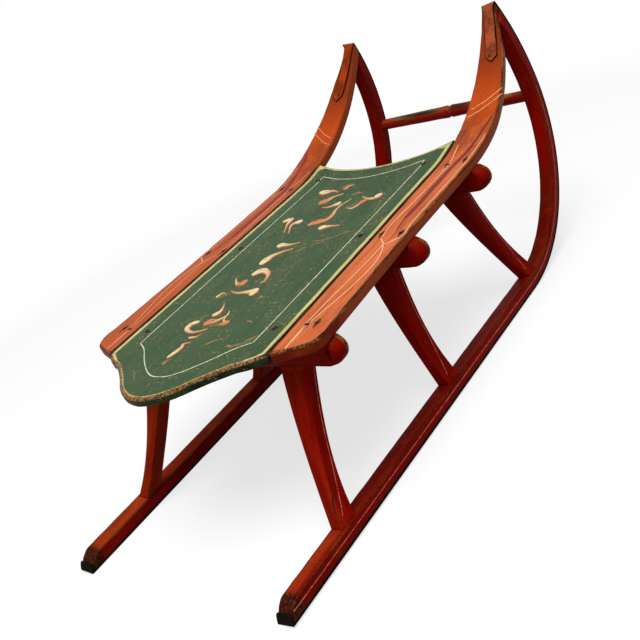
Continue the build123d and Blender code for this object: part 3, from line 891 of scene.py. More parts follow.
def fastener(centre, normal, radius, slot_turn=None, dome=0.25):
    """A round head at a point: a low dome, or two half rounds on a lower disc for a slotted screw."""
    normal = normal / np.linalg.norm(normal)
    side = np.cross(normal, [0.0, 1.0, 0.0])
    side /= np.linalg.norm(side)
    ahead = np.cross(side, normal)

    def turned(outline, heights):
        rings = [centre + np.outer(ring[:, 0], side) + np.outer(ring[:, 1], ahead) + height * normal
                 for ring, height in zip(outline, heights)]
        lay = np.stack([np.concatenate([ring, np.full((len(ring), 1), height)], 1)
                        for ring, height in zip(outline, heights)]) + centre
        points = np.stack(rings)
        edge = np.stack([np.full(len(ring), radius - np.hypot(*ring.T).max()) for ring in outline])
        return skin(points, lay, edge, caps=(False, True))

    around = np.linspace(0, 2 * math.pi, 25)[:-1]
    circle = np.stack([np.cos(around), np.sin(around)], 1) * radius
    if slot_turn is None:
        sizes = [1.0, 1.0, 0.93, 0.75, 0.4]
        heights = [-1.2, 0.0, dome * 0.6, dome * 0.9, dome]
        return [turned([circle * size for size in sizes], heights)]
    parts = [turned([circle, circle, circle * 0.9], [-1.2, -0.35, -0.3])]
    for hand in (0, math.pi):
        arc = np.linspace(0.16, math.pi - 0.16, 15) + hand + slot_turn
        half = np.stack([np.cos(arc), np.sin(arc)], 1) * radius
        middle = half.mean(0)
        parts.append(turned([half, half, middle + (half - middle) * 0.93, middle + (half - middle) * 0.6],
                            [-1.2, dome * 0.4, dome * 0.8, dome]))
    return parts


def seat_fastener(x, along, radius, slot_turn=None, lift=0.0, dome=0.25):
    """A head on the seat's top face, the up-curve too."""
    centre, above = (on_seat(np.array(x), np.array(along), depth) for depth in (-lift, -lift - 1.0))
    return fastener(centre, above - centre, radius, slot_turn, dome)


def line_width(count, width, taper_start=0.0, taper_end=0.0, seed=5):
    """Widths along a hand-painted line, with tapers given as shares of its length."""
    uneven = 0.16
    share = np.linspace(0, 1, count)
    widths = width * (1 + uneven * waves(share[:, None] * np.array([40.0, 0.0]), 6.0, seed))
    for taper, far in ((taper_start, share), (taper_end, 1 - share)):
        if taper:
            widths = widths * np.clip(0.12 + 0.88 * far / taper, 0, 1)
    return widths


def painted_line(points, width, place, count=60, lift=0.13, **tapers):
    """A hand-painted line through a few points of a face."""
    return ribbon(spline(points, count), line_width(count, width, **tapers), place, lift)


def stroke(points, head, tail=0.10, lift=0.22):
    """A brush stroke on the deck that swells near its head and thins towards its tail."""
    count, swell = 26, 0.24
    share = np.linspace(0, 1, count)
    rise = np.sqrt(np.clip(share / swell, 0, 1)) * np.sqrt(np.clip(2 - share / swell, 0, 1))
    fall = tail + (1 - tail) * (1 - np.clip((share - swell) / (1 - swell), 0, 1)) ** 1.7
    widths = 0.96 * head * np.where(share < swell, 0.35 + 0.65 * rise, fall)
    return ribbon(spline(points, count), widths, on_seat, lift)


# Brush strokes, head first: half width and length along the deck, then the stroke's width at its head
CREAM_STROKES = [
    ([(-19, -6), (-15, 5), (-13, 14), (-16, 20), (-11, 22), (-6, 24)], 8.6),
    ([(-18, 32), (-7, 34), (-2, 40)], 3.5),
    ([(-28, 64), (-37, 61), (-39, 53), (-33, 47), (-20, 43), (-6, 47), (-1, 50)], 10.5),
    ([(-17, 76), (-11, 82), (-12, 91), (-18, 102)], 9.7),
    ([(-45, 116), (-44, 119), (-41, 126), (-30, 121)], 5.0),
    ([(14, 116), (13, 126), (4, 125), (-14, 124), (-29, 129)], 14.0),
    ([(-21, 163), (-16, 171), (-6, 172), (6, 164), (12, 150), (9, 143)], 15.0),
    ([(-26, 188), (-25, 200), (-20, 210), (-8, 218), (4, 223)], 16.7),
    ([(-32, 234), (-23, 235), (-10, 234), (5, 238)], 13.0),
    ([(-74, 303), (-62, 307), (-58, 292), (-48, 271)], 12.0),
    ([(-34, 297), (-42, 296), (-48, 289), (-37, 267)], 13.0),
    ([(13, 271), (26, 273), (46, 273)], 13.0),
    ([(-62, 385), (-47, 380), (-37, 382), (-23, 375)], 15.0),
    ([(6, 339), (0, 336), (-9, 331), (-23, 332)], 12.0),
    ([(70, 346), (65, 345), (61, 339), (48, 341), (36, 349)], 14.0),
]
ORANGE_STROKES = [
    ([(-16, 58), (-9, 63), (-1, 64), (9, 74), (6, 84)], 15.0),
    ([(11, 57), (22, 61), (12, 65), (8, 80)], 9.0),
    ([(-21, 153), (-25, 144), (-35, 147), (-46, 159)], 14.0),
    ([(-14, 282), (-7, 288), (2, 290), (12, 293), (14, 305), (10, 319), (12, 332), (19, 347)], 16.0),
    ([(-40, 348), (-28, 352), (-21, 361), (-8, 367)], 17.0),
    ([(46, 338), (46, 333), (40, 318), (29, 319)], 13.0),
    ([(-15, 379), (-13, 389), (-4, 391)], 12.0),
]
THIN_STROKES = [
    ([(-14, -19), (-13, -14), (-11, -11)], 4.0),
    ([(23, 18), (30, 24), (37, 27)], 3.5),
    ([(59, 16), (66, 15), (71, 14)], 3.5),
    ([(80, 24), (88, 30), (95, 35)], 3.0),
    ([(53, 62), (59, 61), (64, 58)], 3.0),
    ([(32, 113), (36, 112), (40, 110)], 3.0),
    ([(26, 235), (38, 237), (48, 233), (53, 224)], 1.6),
    ([(32, 247), (37, 249), (41, 250)], 1.6),
    ([(12, 361), (20, 364), (31, 357)], 2.0),
    ([(66, 254), (78, 252), (90, 248)], 1.2),
    ([(77, 331), (82, 318), (84, 305), (87, 293)], 1.6),
]

# Places where the green is rubbed through to the wood
RUBS = [
    ([(28, 20), (36, 26), (45, 28)], 10.0),
    ([(57, 12), (70, 16), (84, 21), (94, 28)], 6.0),
    ([(-46, 113), (-36, 118), (-27, 125)], 11.0),
    ([(29, 106), (36, 109), (43, 113)], 6.0),
    ([(-28, 384), (-18, 392), (-7, 399)], 9.0),
    ([(8, 355), (20, 360), (33, 362)], 7.0),
    ([(22, 318), (33, 324), (43, 331)], 10.0),
    ([(27, 226), (40, 230), (53, 233)], 5.0),
    ([(36, 236), (50, 239), (64, 244)], 6.0),
    ([(57, 242), (70, 249), (85, 254)], 4.5),
    ([(83, 242), (92, 246), (99, 253)], 7.0),
    ([(12, 211), (21, 217), (28, 225)], 8.0),
    ([(-21, -19), (-14, -12), (-8, -8)], 8.0),
    ([(-24, 64), (-30, 72), (-22, 80)], 8.0),
    ([(-6, 50), (4, 56), (16, 54)], 8.0),
    ([(-82, 26), (-80, 34), (-79, 42)], 3.0),
    ([(-52, -30), (-44, -38), (-33, -49)], 3.5),
    ([(-93, -16), (-87, -22), (-78, -26)], 5.0),
    ([(44, 0), (52, 4), (60, 4)], 3.0),
]


def deck_paint():
    """Green, with a yellow band along the sides and front, and the tail edge worn to the wood."""
    def decorate(tree, colour, lay, arris, grain, cloud, speck):
        up = tree.facing_up()
        along, across = (tree.axis(lay, axis) for axis in "XY")
        # Scattered chips and rubbed streaks that show brown wood and old varnish
        spots = tree.noise(lay, 210.0, 5.0, 0.72)
        spread = tree.noise(lay, 24.0, 3.0, 0.5)
        rubbed = tree.noise(tree.stretch(lay, (38.0, 170.0, 170.0)), 1.0, 4.0, 0.7, 0.5)
        fine = tree.noise(tree.stretch(lay, (1.0, 1.6, 1.0), (0.3, 0.1, 0.0)), 520.0, 3.0, 0.6)
        spot = tree.times(tree.step(spots, 0.585, 0.625), tree.step(spread, 0.40, 0.56))
        dots = tree.times(tree.step(fine, 0.66, 0.69), tree.less(spread, 0.45, 0.62))
        rub = tree.times(tree.step(rubbed, 0.60, 0.70), tree.step(spots, 0.44, 0.56))
        bare = tree.mix(tree.step(speck, 0.42, 0.6), rgb(104, 72, 44), rgb(166, 136, 92))
        chipped = tree.larger(tree.larger(spot, dots), tree.times(rub, 0.75))
        colour = tree.over(colour, chipped, 0.85, bare)
        shade = tree.noise(lay, 14.0, 5.0, 0.6)
        colour = tree.over(colour, tree.step(shade, 0.44, 0.62), 0.5, rgb(45, 71, 49))
        # The band is wide along the sides and thin along the front
        from_middle = tree.math("ABSOLUTE", across)
        width = tree.add("ShaderNodeMapRange", {"Value": from_middle, "From Min": 0.100, "From Max": 0.108,
                                                "To Min": 3.2, "To Max": 6.9})
        inner = tree.plus(arris, tree.swing(cloud, 1.6))
        band = tree.times(tree.math("LESS_THAN", inner, width), tree.step(up, 0.3, 0.6))
        faded = tree.mix(tree.step(grain, 0.44, 0.66), rgb(194, 184, 122), rgb(146, 140, 86))
        faded = tree.over(faded, tree.step(speck, 0.56, 0.66), 0.5, rgb(70, 96, 56))
        colour = tree.over(colour, band, 0.95, faded)
        # Painted shade: a near-black line along the deck's side edges, where the gap to the rail lies in
        # shade
        gap_shade = tree.times(tree.less(inner, 0.5, 1.1), tree.step(from_middle, 0.100, 0.108))
        colour = tree.over(colour, gap_shade, 0.95, rgb(9, 6, 3))
        # Along the tail a thin pale fringe, then a ragged band of brown wood on the round of the edge
        tail = tree.less(along, -0.004, 0.004)
        top_only = tree.step(tree.plus(up, tree.swing(speck, 0.5)), 0.12, 0.3)
        ragged = tree.plus(arris, tree.plus(tree.swing(cloud, 5.0), tree.swing(speck, 6.0)))
        edge = tree.times(tree.less(ragged, 2.8, 3.7), top_only)
        fringe = tree.times(tree.less(ragged, 4.2, 5.2), top_only)
        wood = tree.mix(tree.step(speck, 0.42, 0.58), rgb(66, 42, 22), rgb(178, 136, 86))
        colour = tree.over(colour, tree.times(tail, fringe), 0.8, rgb(190, 178, 112))
        return tree.mix(tree.times(tail, edge), colour, wood)

    # The near-black side colour is painted shade on the deck's edge faces
    return painted_wood("painted_green", rgb(59, 78, 51), rgb(6, 16, 8), rgb(46, 64, 43), wear=0.8,
                        decorate=decorate, gloss=0.46, chips=0.66, rim_share=0.35, facing=(0.55, 0.95),
                        worn_share=0.25)


def rail_paint(name, top, shadow):
    """Orange red on top, paled by painted sheen; deeper up the curve, where the darkening is painted shade;
    brown red at the sides as painted light; black painted shade in the gap to the deck.
    """
    def past_inner_edge(tree, lay):
        """Distance out from the rail's inner edge, beside the deck."""
        along, across = (tree.axis(lay, axis) for axis in "XY")
        taper = (DECK_TAIL_HALF - DECK_FRONT_HALF) / DECK_LENGTH
        edge = tree.minus(MM * (DECK_TAIL_HALF + DECK_GAP), tree.times(along, taper))
        return along, tree.minus(across, edge)

    def where_worn(tree, lay):
        along, out = past_inner_edge(tree, lay)
        height = tree.axis(lay, "Z")
        upper = tree.larger(tree.step(height, -0.010, -0.007), 0.2)
        return tree.times(tree.larger(tree.step(out, 0.006, 0.012), 0.25), upper)

    def decorate(tree, colour, lay, arris, grain, cloud, speck):
        along, out = past_inner_edge(tree, lay)
        up = tree.step(tree.facing_up(), 0.1, 0.4)
        # Up the curve a deeper orange that darkens toward the tip: the orange is paint, the darkening is
        # painted shade
        curve = tree.mix(tree.step(along, 0.52, 0.63), rgb(184, 69, 11), rgb(124, 41, 6))
        curve_share = tree.times(tree.step(tree.plus(along, tree.swing(cloud, 0.1)), 0.40, 0.54), up)
        # Painted light: the rail's sides ahead of the tail get a lighter brown red that lifts their shade
        sides = tree.times(tree.step(along, 0.05, 0.09), tree.less(up, 0.0, 0.9))
        colour = tree.over(colour, sides, 0.85, rgb(152, 66, 30))
        colour = tree.over(colour, curve_share, 0.95, curve)
        streaks = tree.noise(tree.stretch(lay, (9.0, 170.0, 170.0), (0.2, 0.0, 0.0)), 1.0, 7.0, 0.72, 0.4)
        streaked = tree.times(tree.step(streaks, 0.46, 0.60), 0.45, up)
        colour = tree.mix(streaked, colour, rgb(140, 60, 28))
        dark = tree.times(tree.step(streaks, 0.57, 0.66), tree.step(speck, 0.42, 0.54))
        colour = tree.over(colour, dark, 0.55, rgb(70, 28, 14))
        flecks = tree.times(tree.step(speck, 0.61, 0.67), tree.step(cloud, 0.44, 0.58))
        colour = tree.over(colour, flecks, 0.5, rgb(92, 40, 20))
        front = tree.step(tree.plus(along, tree.swing(cloud, 0.12)), 0.34, 0.50)
        colour = tree.over(colour, tree.times(front, tree.step(speck, 0.50, 0.58)), 0.2, rgb(84, 36, 16))
        rubbed = tree.times(tree.step(along, 0.43, 0.46), tree.less(along, 0.50, 0.55))
        rubbed = tree.times(rubbed, tree.step(cloud, 0.40, 0.56), up)
        colour = tree.over(colour, rubbed, 0.45, rgb(92, 44, 20))
        # Painted shade: near-black along the inner edge, where the gap to the deck lies in shade
        gap = tree.times(tree.less(out, shadow - 0.0006, shadow + 0.0006), tree.less(along, 0.45, 0.48))
        return tree.mix(gap, colour, rgb(5, 2, 1))

    return painted_wood(name, top, rgb(104, 16, 4), rgb(142, 56, 24), 1.1, decorate=decorate, chips=0.66,
                        facing=(0.55, 0.97), where_worn=where_worn)


def runner_paint(name, top_paint, ahead_light_and_shade, red_from):
    """Deep red, orange on the inner part of the top face behind the rear leg, and ahead of it a deep red
    painted shadow of the deck on the right runner and an orange brown painted light on the left.
    """
    def decorate(tree, colour, lay, arris, grain, cloud, speck):
        along, out = (tree.axis(lay, axis) for axis in "XY")
        up = tree.step(tree.facing_up(), 0.4, 0.8)
        # The outer strip of the top face takes the deep red of the sides, carrying their painted shade over
        # it
        beyond = tree.step(tree.plus(out, tree.swing(cloud, 0.004)), red_from, red_from + 0.0025)
        outer = tree.times(beyond, up)
        colour = tree.over(colour, outer, 0.9, rgb(112, 9, 1))
        # Ahead of the rear leg the top face takes other colours: painted shadow of the deck on the right
        # runner, painted light lifting that shadow on the left
        top = tree.times(tree.step(along, 0.09, 0.13), up)
        brown = tree.mix(tree.step(cloud, 0.48, 0.66), *ahead_light_and_shade)
        top = tree.times(top, tree.less(outer, 0.3, 0.7))
        colour = tree.over(colour, top, 0.9, brown)
        mottle = tree.times(tree.step(speck, 0.52, 0.64), tree.step(cloud, 0.52, 0.64))
        colour = tree.over(colour, mottle, 0.5, rgb(166, 62, 14))
        worn = tree.less(tree.plus(along, tree.swing(cloud, 0.03)), 0.019, 0.030)
        charred = tree.mix(tree.step(speck, 0.44, 0.62), rgb(18, 7, 4), rgb(74, 36, 18))
        return tree.over(colour, worn, 0.92, charred)

    return painted_wood(name, top_paint, rgb(134, 9, 1), rgb(92, 6, 1), 0.75, decorate=decorate,
                        facing=(0.5, 0.9), wood=(rgb(70, 24, 8), rgb(150, 66, 22)), rim_share=0.6,
                        worn_share=0.35, specular=0.02)


def leg_paint(name, side):
    """Deep red with browner streaks down the wood, and painted shade where the foot meets the runner."""
    def decorate(tree, colour, lay, arris, grain, cloud, speck):
        streaks = tree.noise(tree.stretch(lay, (16.0, 130.0, 130.0), (0.4, 0.0, 0.0)), 1.0, 6.0, 0.68, 0.5)
        colour = tree.over(colour, tree.step(streaks, 0.50, 0.66), 0.65, rgb(138, 32, 5))
        colour = tree.over(colour, tree.less(streaks, 0.34, 0.45), 0.45, rgb(70, 4, 1))
        specks = tree.times(tree.step(speck, 0.56, 0.64), tree.step(cloud, 0.42, 0.58))
        colour = tree.over(colour, specks, 0.5, rgb(60, 16, 6))
        # Painted shade: dark low down on the leg, where the foot meets the runner
        position = tree.add("ShaderNodeNewGeometry", {}, "Position")
        height = tree.plus(tree.axis(position, "Z"), tree.swing(cloud, 0.006))
        return tree.over(colour, tree.less(height, 0.018, 0.023), 0.9, rgb(20, 7, 4))

    return painted_wood(name, rgb(160, 46, 8), side, rgb(98, 6, 1), 0.3, decorate=decorate, rim_share=0.5,
                        specular=0.016)


def bench_paint():
    """Deep red, its round ends worn along their far rims."""
    def decorate(tree, colour, lay, arris, grain, cloud, speck):
        across, depth = (tree.axis(lay, axis) for axis in "XZ")
        out = tree.plus(tree.math("ABSOLUTE", across), tree.swing(cloud, 0.003))
        end = tree.step(out, 0.1795, 0.1815)
        rim = tree.step(tree.plus(depth, tree.swing(speck, 0.003)), 0.0016, 0.0040)
        wood = tree.mix(tree.step(speck, 0.42, 0.58), rgb(64, 30, 12), rgb(152, 88, 38))
        return tree.over(colour, tree.times(end, rim), 0.85, wood)

    return painted_wood("painted_red_bench", rgb(108, 20, 5), rgb(122, 9, 2), rgb(84, 5, 1), 0.7,
                        decorate=decorate, wood=(rgb(66, 26, 10), rgb(146, 84, 34)), rim_share=0.5,
                        worn_share=0.25, specular=0.016)


def bar_paint():
    """Red, darkened and worn on top where ropes were tied."""
    def decorate(tree, colour, lay, arris, grain, cloud, speck):
        along = tree.axis(lay, "X")
        up = tree.plus(tree.facing_up(), tree.swing(cloud, 1.2))
        left = tree.times(tree.step(along, -0.112, -0.095), tree.less(along, -0.03, 0.0))
        patch = tree.times(tree.step(along, 0.004, 0.008), tree.less(along, 0.026, 0.05))
        end = tree.times(tree.step(along, 0.086, 0.094), tree.less(along, 0.11, 0.116))
        olive = tree.mix(tree.step(grain, 0.42, 0.6), rgb(22, 20, 10), rgb(96, 78, 42))
        for area, low, tint in ((left, 0.2, olive), (patch, 0.35, rgb(48, 22, 12)),
                                (end, 0.6, rgb(150, 104, 60))):
            share = tree.times(area, tree.step(up, low, low + 0.35))
            colour = tree.over(colour, share, 0.9, tint)
        return colour

    return painted_wood("painted_red_bar", rgb(142, 58, 20), rgb(132, 14, 3), rgb(96, 20, 6), 1.2,
                        decorate=decorate)


def line_paint(name, paint, under, thin=0.46, size=90.0):
    """Thin old paint of a line, with the colour under it showing where it has worn."""
    tree = Paint(name)
    lay = tree.attribute("lay", "Vector")
    cloud = tree.noise(lay, size, 5.0, 0.7)
    speck = tree.noise(lay, 700.0, 3.0, 0.6)
    wear = tree.plus(tree.times(cloud, 0.6), tree.times(speck, 0.4))
    colour = tree.mix(tree.step(wear, thin, thin + 0.16), under, paint)
    rough = tree.spread(cloud, 0.4, 0.6)
    return tree.finish(colour, rough, speck, 0.0001)


def stroke_paint(name, head, tail, worn):
    """Brush strokes that change colour from head to tail, with brush marks along them."""
    tree = Paint(name)
    lay = tree.attribute("lay", "Vector")
    share = tree.attribute("arris")
    brush = tree.noise(tree.stretch(lay, (90.0, 900.0, 300.0)), 1.0, 4.0, 0.6, 0.8)
    cloud = tree.noise(lay, 120.0, 5.0, 0.7)
    tint = tree.plus(share, tree.swing(brush, 1.1))
    colour = tree.mix(tree.step(tint, 0.15, 0.95), head, tail)
    colour = tree.over(colour, tree.step(brush, 0.58, 0.72), 0.7, worn)
    colour = tree.over(colour, tree.step(cloud, 0.58, 0.66), 0.8, worn)
    rough = tree.spread(cloud, 0.38, 0.58)
    return tree.finish(colour, rough, brush, 0.0002)


def iron(name, dark, rust, paint=None, painted_from=None):
    """Dark iron with rust, and paint left on the strap, from a length along the strip on."""
    tree = Paint(name)
    lay = tree.attribute("lay", "Vector")
    cloud = tree.noise(lay, 40.0, 6.0, 0.65)
    speck = tree.noise(lay, 500.0, 4.0, 0.6)
    colour = tree.mix(tree.step(cloud, 0.42, 0.62), dark, rust)
    colour = tree.over(colour, tree.step(speck, 0.55, 0.7), 0.5, dark)
    if paint:
        length = tree.axis(lay)
        arris = tree.attribute("arris")
        strap = tree.math("GREATER_THAN", length, painted_from)
        edge = tree.plus(arris, tree.swing(cloud, 5.0))
        cover = tree.times(strap, tree.step(edge, 0.8, 2.0))
        pits = tree.noise(lay, 260.0, 4.0, 0.7)
        cover = tree.times(cover, tree.less(pits, 0.58, 0.66))
        dulled = tuple(0.45 * part for part in paint[:3]) + (1.0,)
        mottled = tree.mix(tree.step(cloud, 0.40, 0.64), paint, dulled)
        colour = tree.over(colour, cover, 0.92, mottled)
    rough = tree.spread(cloud, 0.45, 0.8)
    return tree.finish(colour, rough, speck, 0.0002, 0.025)


# Rail tops are coral, paled by painted sheen; the left rail's copy is darker, painted shade on that side of
# the sled
RAIL_RED = {"right": rail_paint("painted_red_rail_right", rgb(194, 101, 56), 0.0027),
            "left": rail_paint("painted_red_rail_left", rgb(169, 79, 37), 0.0039)}
# The last colour pair of each runner is its top ahead of the rear leg: painted shadow on the right, painted
# light on the left
RUNNER_RED = {"right": runner_paint("painted_red_runner_right", rgb(144, 42, 8),
                                    (rgb(88, 5, 1), rgb(98, 12, 4)), 0.0145),
              "left": runner_paint("painted_red_runner_left", rgb(142, 48, 11),
                                   (rgb(148, 40, 9), rgb(178, 64, 16)), 0.0300)}
# The left legs' side colour is lighter and browner than the right's: painted light on that side of the sled
LEG_RED = {"right": leg_paint("painted_red_leg_right", rgb(128, 7, 1)),
           "left": leg_paint("painted_red_leg_left", rgb(138, 36, 5))}
BENCH_RED = bench_paint()
BAR_RED = bar_paint()
DECK_GREEN = deck_paint()
CREAM_LINE = line_paint("cream_line", rgb(202, 202, 168), rgb(84, 104, 70), 0.36)
PINK_LINE = {"right": line_paint("pink_line_right", rgb(214, 160, 120), rgb(190, 104, 62), 0.28),
             "left": line_paint("pink_line_left", rgb(204, 132, 92), rgb(180, 92, 52), 0.22)}
DULL_LINE = line_paint("dull_line", rgb(198, 112, 88), rgb(140, 24, 6), 0.40)
RUBBED = line_paint("rubbed_green", rgb(146, 94, 58), rgb(66, 88, 58), 0.46, 210.0)
MAROON = line_paint("maroon_line", rgb(104, 34, 28), rgb(140, 60, 36), 0.32)
DARK = line_paint("dark_crack", rgb(20, 8, 5), rgb(36, 12, 6), 0.4)
UNDER = stroke_paint("under_stroke", rgb(176, 108, 66), rgb(156, 104, 66), rgb(96, 84, 54))
CREAM = stroke_paint("cream_stroke", rgb(210, 190, 150), rgb(188, 138, 88), rgb(150, 98, 60))
ORANGE = stroke_paint("orange_stroke", rgb(186, 112, 66), rgb(212, 176, 128), rgb(128, 76, 44))
TAN = stroke_paint("tan_stroke", rgb(150, 108, 62), rgb(128, 96, 58), rgb(84, 66, 40))
SHOE_IRON = {"right": iron("shoe_iron_right", rgb(9, 8, 6), rgb(28, 15, 9), rgb(158, 74, 42), 1.09),
             "left": iron("shoe_iron_left", rgb(9, 8, 6), rgb(28, 15, 9), rgb(156, 58, 14), 1.09)}
HEAD_IRON = iron("nail_iron", rgb(24, 14, 10), rgb(66, 34, 20))
STAIN = line_paint("nail_stain", rgb(34, 18, 11), rgb(96, 48, 28), 0.40)

# half width and length along the seat, on both sides
RAIL_NAILS = [(160.8, 54.8), (148.2, 52.6), (135.8, 235.7), (164.4, 233.6), (137.7, 408.4), (161.0, 415.9)]
DECK_SCREWS = [(107.0, 46.6), (102.7, 237.6), (92.9, 423.5)]
SCREW_TURNS = (0.4, 1.9, 1.1)
NAIL_RADIUS, SCREW_RADIUS = 2.6, 3.4
STRAP_NAIL = (135.2, 10.0)
# points, width and count of curve points
RAIL_LINES = [
    ([(148.7, 11), (146.4, 58), (147.8, 97), (150.1, 135), (153.2, 197), (152.4, 210)], 1.6, 60),
    ([(148.8, 22), (149.5, 51), (158.2, 96), (164.1, 129), (165.6, 171), (159.4, 196), (151.7, 212),
      (140.2, 225.5)], 1.7, 60),
    ([(154.0, 210), (161.0, 217), (168.2, 224)], 1.2, 60),
    ([(140.3, 228), (136.2, 261), (139.1, 317), (140.2, 399), (131.3, 458)], 1.6, 90),
    ([(154.7, 210), (170.2, 227), (167, 256), (166, 340), (165, 431), (167, 474)], 1.5, 90),
    ([(126.1, 530), (145, 542), (165.4, 560)], 1.3, 60),
    ([(123.6, 516), (141.5, 526), (168.5, 549)], 1.3, 60),
]
RAIL_STRIPE = [(153.9, 239), (150.2, 267), (150.2, 314), (149, 395), (154, 440), (160.5, 492), (166.4, 520)]
# place along the rail and reach of each cut
ROPE_CUTS = [(463, 3.0), (468, 6.0), (474, 4.0), (479, 8.0), (486, 5.0)]
# length along the runner and height over its sole
RUNNER_LINE = [(10, 11.6), (200, 11.4), (420, 11.2), (600, 10.4), (800, 10.8), (960, 10.5)]
# place forward on the leg's outer face and height
LEG_LINE = [(4.5, 152), (4, 110), (4.5, 58), (-1.5, 24), (-5.5, 13)]
LEG_CRACK = [(4.0, 72), (3.0, 62), (-1.0, 46), (-8.0, 36), (-11.4, 28), (-11.8, 12)]
LEG_HEIGHT = 160.0
# half width and length along the seat of the deck's pinstripe: round the tail, one side, and along the front
STRIPE_TAIL = [(0, -40), (15, -38), (33, -28), (55, -10), (76, 10), (95, 22)]
STRIPE_SIDE = [(95, 22), (93, 220), (90, 434)]
STRIPE_FRONT = [(90, 434), (48, 418), (0, 411), (-48, 418), (-90, 434)]


def rail_nails(side, mirrored):
    """The nails down a rail and the one through the strap's end."""
    x, back = STRAP_NAIL
    nails = [part for place in RAIL_NAILS for part in seat_fastener(*place, NAIL_RADIUS, None, 0.05)]
    nails += seat_fastener(x, TIP_LENGTH - STRAP_REACH[side] + back, NAIL_RADIUS, 0.7, STRAP_THICKNESS, 0.5)
    make_mesh(f"nails_{side}", nails, HEAD_IRON, mirrored)


def nail_stains(side, mirrored):
    """Dark stains round the nails, the screws and the corner where rail and deck meet at the tail."""
    stains = []
    for count, (x, along) in enumerate(RAIL_NAILS):
        line = [(x + 1.2, along - 10.0), (x, along), (x - 0.8, along + 8.0)]
        stains.append(painted_line(line, 8.6, on_rail, 24, 0.06,
                                   taper_start=0.6, taper_end=0.5, seed=20 + count))
    for count, (x, along) in enumerate(DECK_SCREWS):
        line = [(x - 7.5, along - 3.0), (x, along), (x + 6.5, along + 5.0)]
        stains.append(painted_line(line, 7.6, on_seat, 24, 0.06,
                                   taper_start=0.6, taper_end=0.6, seed=30 + count))
    for line, place in (([(132.6, 2.5), (135.5, 5.0), (141.0, 8.5)], on_rail),
                        ([(129.2, 3.0), (127.5, -0.5), (122.0, -4.5)], on_seat)):
        stains.append(painted_line(line, 5.0, place, 24, 0.06, taper_end=0.8))
    make_mesh(f"nail_stains_{side}", stains, STAIN, mirrored)


def rope_cuts():
    """Cuts that a rope wore across the right rail's inner arris."""
    cuts = []
    for count, (along, reach) in enumerate(ROPE_CUTS):
        line = [(121.6, along), (125.0 + reach, along + 1.5), (129.0 + reach, along + 4.0)]
        cuts.append(painted_line(line, 1.5, on_rail, 20, 0.08, taper_end=0.8, seed=40 + count))
    make_mesh("rope_cuts", cuts, DARK)


def maroon_stripe(side, mirrored):
    """A broad stripe between a rail's two pinstripes."""
    stripe = painted_line(RAIL_STRIPE, 7.0, on_rail, 120, 0.08, taper_start=0.25, taper_end=0.3)
    make_mesh(f"rail_maroon_stripe_{side}", [stripe], MAROON, mirrored)


def runner_line(side, mirrored):
    """A pinstripe along a runner's outer side."""
    def outer_side(along, up, depth):
        return on_runner(along, up, RUNNER_WIDTH - depth)

    line = painted_line(RUNNER_LINE, 1.4, outer_side, 260)
    make_mesh(f"runner_pinstripe_{side}", [line], DULL_LINE, mirrored)


def leg_lines(side, mirrored):
    """A pinstripe down each leg of a side, and the crack in the right rear leg."""
    lines = []
    for name in LEG_NAMES:
        def outer_face(forward, up, depth, name=name):
            share = up / LEG_HEIGHT
            chamfer = np.maximum(leg_size(share, 2), 0.6)
            beyond = np.maximum(np.abs(forward) - LEG_DEPTH / 2 + chamfer, 0)
            return on_leg(name, leg_size(share, 1) / 2 - depth - beyond, share, forward)

        lines.append(painted_line(LEG_LINE, 1.3, outer_face, 40))
        if (side, name) == ("right", "rear"):
            crack = painted_line(LEG_CRACK, 1.7, outer_face, 50, taper_start=0.6, taper_end=0.2)
            make_mesh("leg_crack", [crack], DARK)
    make_mesh(f"leg_pinstripes_{side}", lines, DULL_LINE, mirrored)


def deck_screws(side, mirrored):
    """Slotted screws that hold the deck to the benches."""
    further = 0.8 if mirrored else 0.0
    screws = [part for place, turn in zip(DECK_SCREWS, SCREW_TURNS)
              for part in seat_fastener(*place, SCREW_RADIUS, turn + further, 0.0, 0.3)]
    make_mesh(f"deck_screws_{side}", screws, HEAD_IRON, mirrored)


def one_side(side):
    """The solids' pieces of one side, then what is painted and nailed on them."""
    mirrored = side == "left"
    side_rail(RAIL_RED[side], side)
    runner(RUNNER_RED[side], side)
    shoe(SHOE_IRON[side], side)
    for name in LEG_NAMES:
        leg(LEG_RED[side], side, name)
    rail_nails(side, mirrored)
    nail_stains(side, mirrored)
    outlines = [painted_line(points, width, on_rail, count) for points, width, count in RAIL_LINES]
    make_mesh(f"rail_pinstripes_{side}", outlines, PINK_LINE[side], mirrored)
    if not mirrored:
        rope_cuts()
    maroon_stripe(side, mirrored)
    runner_line(side, mirrored)
    leg_lines(side, mirrored)
    deck_screws(side, mirrored)


def deck_pinstripe():
    """The cream line round the deck's ornament."""
    tail = [(-x, along) for x, along in STRIPE_TAIL[:0:-1]] + STRIPE_TAIL
    other_side = [(-x, along) for x, along in STRIPE_SIDE[::-1]]
    lines = [spline(tail, 90)] + [spline(points, 60) for points in (STRIPE_SIDE, STRIPE_FRONT, other_side)]
    make_mesh("deck_pinstripe", [ribbon(line, line_width(len(line), 1.4), on_seat, 0.16) for line in lines],
              CREAM_LINE)


